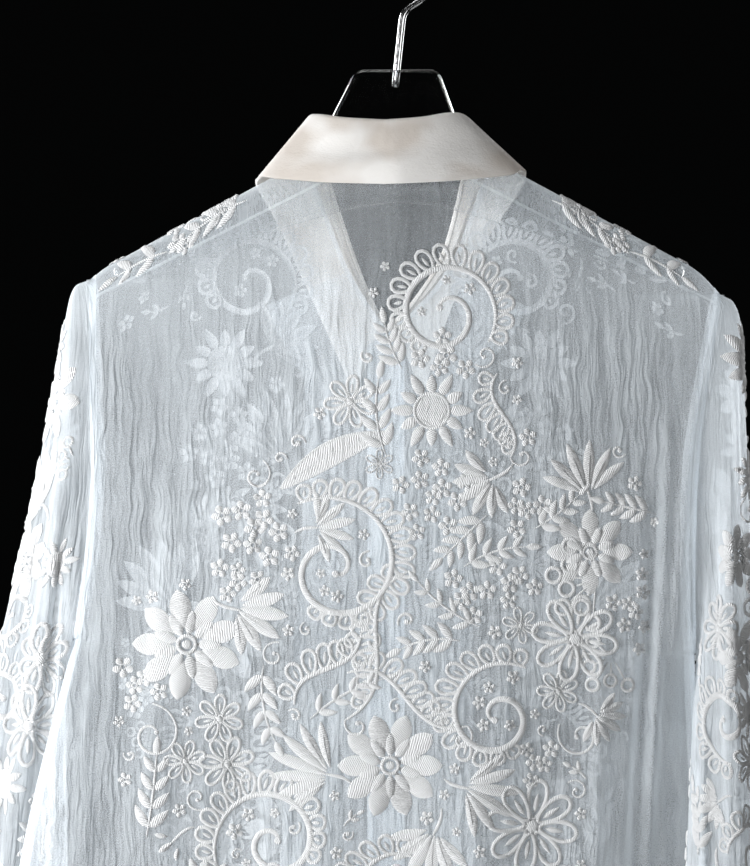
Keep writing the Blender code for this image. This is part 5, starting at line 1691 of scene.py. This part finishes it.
def make_embroidery(thread, sleeves):
    """Stitch every piece: the back, the fronts, the shoulders and the sleeves."""
    large, middle, small, tiny = small_motifs()

    def fill(ground, tries, seed):
        """Fill a piece's free cloth, largest motifs first."""
        ground.fill(large, tries * 2, seed + 5, 0.26)
        ground.fill(middle, tries, seed, 0.16)
        ground.fill(small, tries * 2, seed + 1, 0.09)
        ground.fill(tiny, tries * 2, seed + 2, 0.06)

    grounds = []
    back = Ground("embroidery_back", on_panel("back"), (-0.20, -0.76), (0.21, -0.18),
                  polygon_mask(BACK_FIELD))
    for x, z, start_radius, end_radius, start, turn in BACK_SCROLLS:
        back.put(comb_scroll(start_radius, end_radius, start, turn), x, z)
    for kind, x, z, radius, petals in BACK_FLOWERS:
        back.put(FLOWER_KINDS[kind](radius, petals), x, z)
    for maker, x, z, degrees in BACK_MOTIFS:
        back.put(maker(), x, z, degrees)
    fill(back, 2200, 31)
    grounds.append((back, BACK_MOTIF_NODES))

    for side, name in SIDES:
        # The right front reaches further over, so its motifs lie nearer the closing
        shift = 0.0 if side > 0 else RIGHT_FRONT_SHIFT
        corners = [(side * x + shift, z) for x, z in FRONT_FIELD]
        front = Ground("embroidery_front_" + name, on_panel("front_" + name), (-0.20, -0.72),
                       (0.21, -0.16), polygon_mask(corners))
        for maker, x, z, degrees in FRONT_MOTIFS:
            front.put(maker(), side * x + shift, z, side * degrees, 1.0, side < 0)
        fill(front, 1400, 51 + side)
        grounds.append((front, ()))

    for side, name in SIDES:
        top = Ground("embroidery_shoulder_" + name, on_shoulder(side), (-0.20, -0.05), (0.20, 0.05),
                     lambda x, y, side=side: (side * x > 0.100) & (side * x < 0.192) & (y < 0.026))
        for maker, x, down, degrees in SHOULDER_MOTIFS:
            top.put(maker(), side * x, down, side * degrees, 1.0, side < 0)
        top.fill(small, 500, 97 + side, 0.06)
        grounds.append((top, ()))

    for name, points in sleeves.items():
        lay = SleeveLay(points)
        end = lay.run[-1] - 0.012

        def inside(x, y, lay=lay, end=end):
            """Whether places lie clear of the underarm seam, the armhole and the hem."""
            girth = np.interp(y, lay.run, lay.girth)
            return (np.abs(x) < girth / 2 - 0.004) & (y > 0.006) & (y < end)

        sleeve = Ground("embroidery_" + name, lay, (-0.22, 0.0), (0.22, lay.run[-1]), inside)
        main = (
            lambda rng: layered_flower(rng.uniform(0.022, 0.030), int(rng.integers(7, 10))),
            lambda rng: comb_scroll(0.026, 0.012, rng.uniform(0, 360), rng.choice((-1.0, 1.0)) * 290.0,
                                    0.0046, 0.0150, 0.0094),
            lambda rng: loop_daisy(rng.uniform(0.020, 0.028), 8),
            lambda rng: leaf_fan(rng.uniform(0.034, 0.044), 6, 120.0, 0.0120),
            lambda rng: sunflower(rng.uniform(0.018, 0.024), 11))
        seed = 71 if name == "sleeve_left" else 83
        sleeve.fill(main, 900, seed, 0.16)
        sleeve.fill(large, 1200, seed + 3, 0.18)
        sleeve.fill(middle, 700, seed + 4, 0.14)
        grounds.append((sleeve, ()))

    for ground, nodes in grounds:
        add_object(ground.name, ground.mesh(), thread, "embroidery_thread", *nodes)


# Camera, light and floor

CAMERA_DISTANCE = 2.2
FRAME_HEIGHT = 0.5716     # of what the camera sees at the shirt
VIEW_CENTRE = (0.0158, -0.3146)
FLOOR_Z = -1.25


def make_studio():
    """The camera behind the shirt, soft lights round it and a pale floor."""
    data = bpy.data.cameras.new("camera")
    data.sensor_width = 36.0
    data.lens = 36.0 * CAMERA_DISTANCE / FRAME_HEIGHT
    camera = new_object("camera", data)
    camera.location = (VIEW_CENTRE[0], CAMERA_DISTANCE, VIEW_CENTRE[1])
    camera.rotation_euler = (math.pi / 2, 0.0, math.pi)
    bpy.context.scene.camera = camera

    # name, place, power in watts, width and height
    lights = (
        ("key", (0.95, 0.72, -0.38), 30.0, 0.6, 0.9),
        ("fill", (-1.05, 1.50, 0.10), 9.0, 1.1, 1.1),
        ("top", (0.30, 0.20, 1.25), 8.0, 1.0, 0.6),
        ("front_key", (1.10, -1.10, 0.10), 36.0, 1.0, 1.0),
        ("front_fill", (-1.25, -1.35, 0.00), 13.0, 1.1, 1.1))
    target = Vector((0.0, 0.0, -0.36))
    for name, place, power, width, height in lights:
        lamp = bpy.data.lights.new(name, "AREA")
        lamp.shape, lamp.size, lamp.size_y, lamp.energy = "RECTANGLE", width, height, power
        obj = new_object(name, lamp)
        obj.location = place
        obj.rotation_mode = "QUATERNION"
        obj.rotation_quaternion = (target - Vector(place)).to_track_quat("-Z", "Y")
        obj.visible_camera = False

    world = bpy.data.worlds.new("studio_dark")
    world.use_nodes = True
    world.node_tree.nodes["Background"].inputs["Color"].default_value = (0.0013, 0.0014, 0.0014, 1.0)
    bpy.context.scene.world = world
    bpy.context.scene.view_settings.view_transform = "Standard"

    turn = np.linspace(0.0, 2 * math.pi, 96, endpoint=False)
    rings = np.array([[(r * math.cos(a), r * math.sin(a), FLOOR_Z) for a in turn]
                      for r in (0.001, 0.3, 0.6, 0.9, 1.2)])
    floor = mesh_from("floor", rings, grid_faces(5, 96, around=True))
    obj = new_object("floor", floor)
    floor.materials.append(floor_material())


make_studio()
sheer = sheer_material("sheer_crepe", 0.24, calm_above=-0.20)
sleeve_sheer = sheer_material("sheer_crepe_sleeves", 0.34, calm_above=-0.30)
dense = sheer_material("sheer_crepe_folded", 0.34, calm_above=0.0)
cloth = make_cloth(sheer, dense, sleeve_sheer)
thread = thread_material()
make_embroidery(thread, {name: cloth[name] for name in ("sleeve_left", "sleeve_right")})
make_hardware(thread)
make_collar(collar_material())
